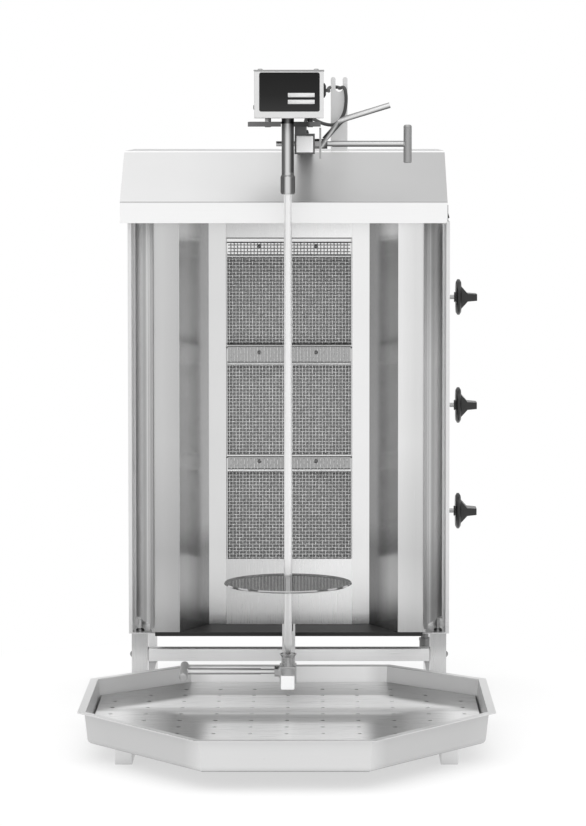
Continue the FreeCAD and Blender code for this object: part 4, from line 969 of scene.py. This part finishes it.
class GRILL_OT_stage(bpy.types.Operator):
    """Sets the floor, the light and the camera"""

    bl_idname = "grill.set_stage"
    bl_label = "Stage"

    def add_object(self, context, name, data, location, turn):
        """Object with its data, its place and its turn in degrees, linked to the scene."""
        item = bpy.data.objects.new(name, data)
        item.location = location
        item.rotation_euler = [math.radians(angle) for angle in turn]
        context.scene.collection.objects.link(item)
        return item

    def area_light(self, context, name, power, size, location, turn):
        """Soft rectangular light."""
        lamp = bpy.data.lights.new(name, "AREA")
        lamp.energy = power
        lamp.shape = "RECTANGLE"
        lamp.size, lamp.size_y = size
        return self.add_object(context, name, lamp, location, turn)

    def flat(self, name, corners, material):
        """Stage piece of one four-sided face."""
        piece = mesh_piece(name, corners, [(0, 1, 2, 3)], False)
        piece.data.materials.append(material)
        return piece

    def set_world(self, context, fill):
        """Light from all round by the fill, while camera and reflections see plain white."""
        world = bpy.data.worlds.new("Studio")
        context.scene.world = world
        world.use_nodes = True
        tree = world.node_tree
        ray = tree.nodes.new("ShaderNodeLightPath")
        seen = math_node(tree, "MAXIMUM", ray.outputs["Is Camera Ray"],
                         math_node(tree, "MAXIMUM", ray.outputs["Is Glossy Ray"],
                                   ray.outputs["Is Transmission Ray"]))
        strength = math_node(tree, "ADD", math_node(tree, "MULTIPLY", seen, 1 - fill), fill)
        background = tree.nodes["Background"]
        feed(tree, background.inputs[0], PLAIN)
        feed(tree, background.inputs[1], strength)

    def floor_material(self, least_glow):
        """Pale floor that glows by itself, fully so away from the grill."""
        material, tree, shader, place = start_material("Pale floor")
        feed(tree, shader.inputs["Base Color"], (0.93, 0.93, 0.93))
        feed(tree, shader.inputs["Roughness"], 0.9)
        glow = add_node(tree, "Emission", {0: PLAIN, 1: 1.0})
        distance = add_node(tree, "VectorMath", {0: place}, operation="LENGTH")
        fade = add_node(tree, "MapRange", {"From Min": 0.35, "From Max": 0.85,
                                                     "Value": distance.outputs["Value"]})
        share = math_node(tree, "MAXIMUM", fade.outputs[0], least_glow)
        mix = add_node(tree, "MixShader",
                       {0: share, 1: shader.outputs[0], 2: glow.outputs[0]})
        feed(tree, tree.nodes["Material Output"].inputs[0], mix.outputs[0])
        return material

    def execute(self, context):
        settings = context.scene.grill_stage
        self.set_world(context, settings.fill)
        reach = 6.0
        self.flat("floor", [(-reach, -reach, 0), (reach, -reach, 0), (reach, reach, 0),
                            (-reach, reach, 0)], self.floor_material(settings.floor_light))
        self.area_light(context, "Overhead", settings.key_power, (2.4, 1.6), (-0.3, -0.7, 2.7),
                        (14, -6, 0))
        softbox = self.area_light(context, "Front", settings.front_power, (3.0, 2.0),
                                  (-0.4, -3.6, 2.2), (64, 0, -6))
        softbox.visible_glossy = False

        dark, tree, shader, _ = start_material("Grey card")
        for label, value in (("Base Color", (0.1, 0.1, 0.1)), ("Roughness", 1.0),
                             ("Emission Color", PLAIN), ("Emission Strength", 0.08)):
            feed(tree, shader.inputs[label], value)
        ring, card_low, card_high = 3.4, 0.25, 3.0
        cards = []
        for side, sign in (("left", -1), ("right", 1)):
            for strip, angles in enumerate(((62, 84), (106, 122), (142, 165))):
                (ax, ay), (bx, by) = [(sign * ring * math.sin(math.radians(angle)),
                                       -ring * math.cos(math.radians(angle)))
                                      for angle in angles]
                cards.append(("card_%s_%d" % (side, strip),
                              [(ax, ay, card_low), (bx, by, card_low), (bx, by, card_high),
                               (ax, ay, card_high)]))
        cards.append(("card_above", [(-1.4, 3.2, 1.3), (1.4, 3.2, 1.3), (1.4, 2.9, 2.2),
                                     (-1.4, 2.9, 2.2)]))
        for name, corners in cards:
            card = self.flat(name, corners, dark)
            for rays in ("camera", "diffuse", "shadow", "transmission"):
                setattr(card, "visible_" + rays, False)

        view = bpy.data.cameras.new("Camera")
        view.lens = settings.lens
        view.sensor_width = 36.0
        view.clip_end = 60.0
        view.shift_x, view.shift_y = settings.shift
        camera = self.add_object(context, "Camera", view, settings.camera, (0, 0, 0))
        camera.rotation_euler = (math.pi / 2 - settings.tilt, 0, 0)
        context.scene.camera = camera
        context.scene.view_settings.view_transform = "Standard"
        return {"FINISHED"}


operators = (GRILL_OT_frame, GRILL_OT_body, GRILL_OT_burners, GRILL_OT_gas, GRILL_OT_knobs,
             GRILL_OT_switch, GRILL_OT_wings, GRILL_OT_arms, GRILL_OT_motor, GRILL_OT_spit,
             GRILL_OT_tray, GRILL_OT_lead, GRILL_OT_stage)
settings_groups = (("grill_steel", SteelSettings), ("grill_weave", WeaveSettings),
                   ("grill_plate", PlateSettings), ("grill_stage", StageSettings))


class GRILL_PT_panel(bpy.types.Panel):
    """The grill's groups of pieces, in the order in which they are made"""

    bl_idname = "GRILL_PT_panel"
    bl_label = "Kebab Grill"
    bl_space_type = "VIEW_3D"
    bl_region_type = "UI"
    bl_category = "Grill"

    def draw(self, context):
        column = self.layout.column(align=True)
        for operator in operators:
            column.operator(operator.bl_idname)
        for group, _ in settings_groups:
            block = self.layout.box()
            settings = getattr(context.scene, group)
            for name in settings.bl_rna.properties.keys():
                if name not in ("rna_type", "name"):
                    block.prop(settings, name)


def register():
    """Adds the settings, the operators and the panel."""
    for name, group in settings_groups:
        bpy.utils.register_class(group)
        setattr(bpy.types.Scene, name, PointerProperty(type=group))
    for operator in operators:
        bpy.utils.register_class(operator)
    bpy.utils.register_class(GRILL_PT_panel)


def unregister():
    """Takes away what register added."""
    bpy.utils.unregister_class(GRILL_PT_panel)
    for operator in reversed(operators):
        bpy.utils.unregister_class(operator)
    for name, group in reversed(settings_groups):
        delattr(bpy.types.Scene, name)
        bpy.utils.unregister_class(group)


def main():
    """Makes every group of pieces in order."""
    register()
    for operator in operators:
        group, action = operator.bl_idname.split(".")
        getattr(getattr(bpy.ops, group), action)()


if __name__ == "__main__":
    main()
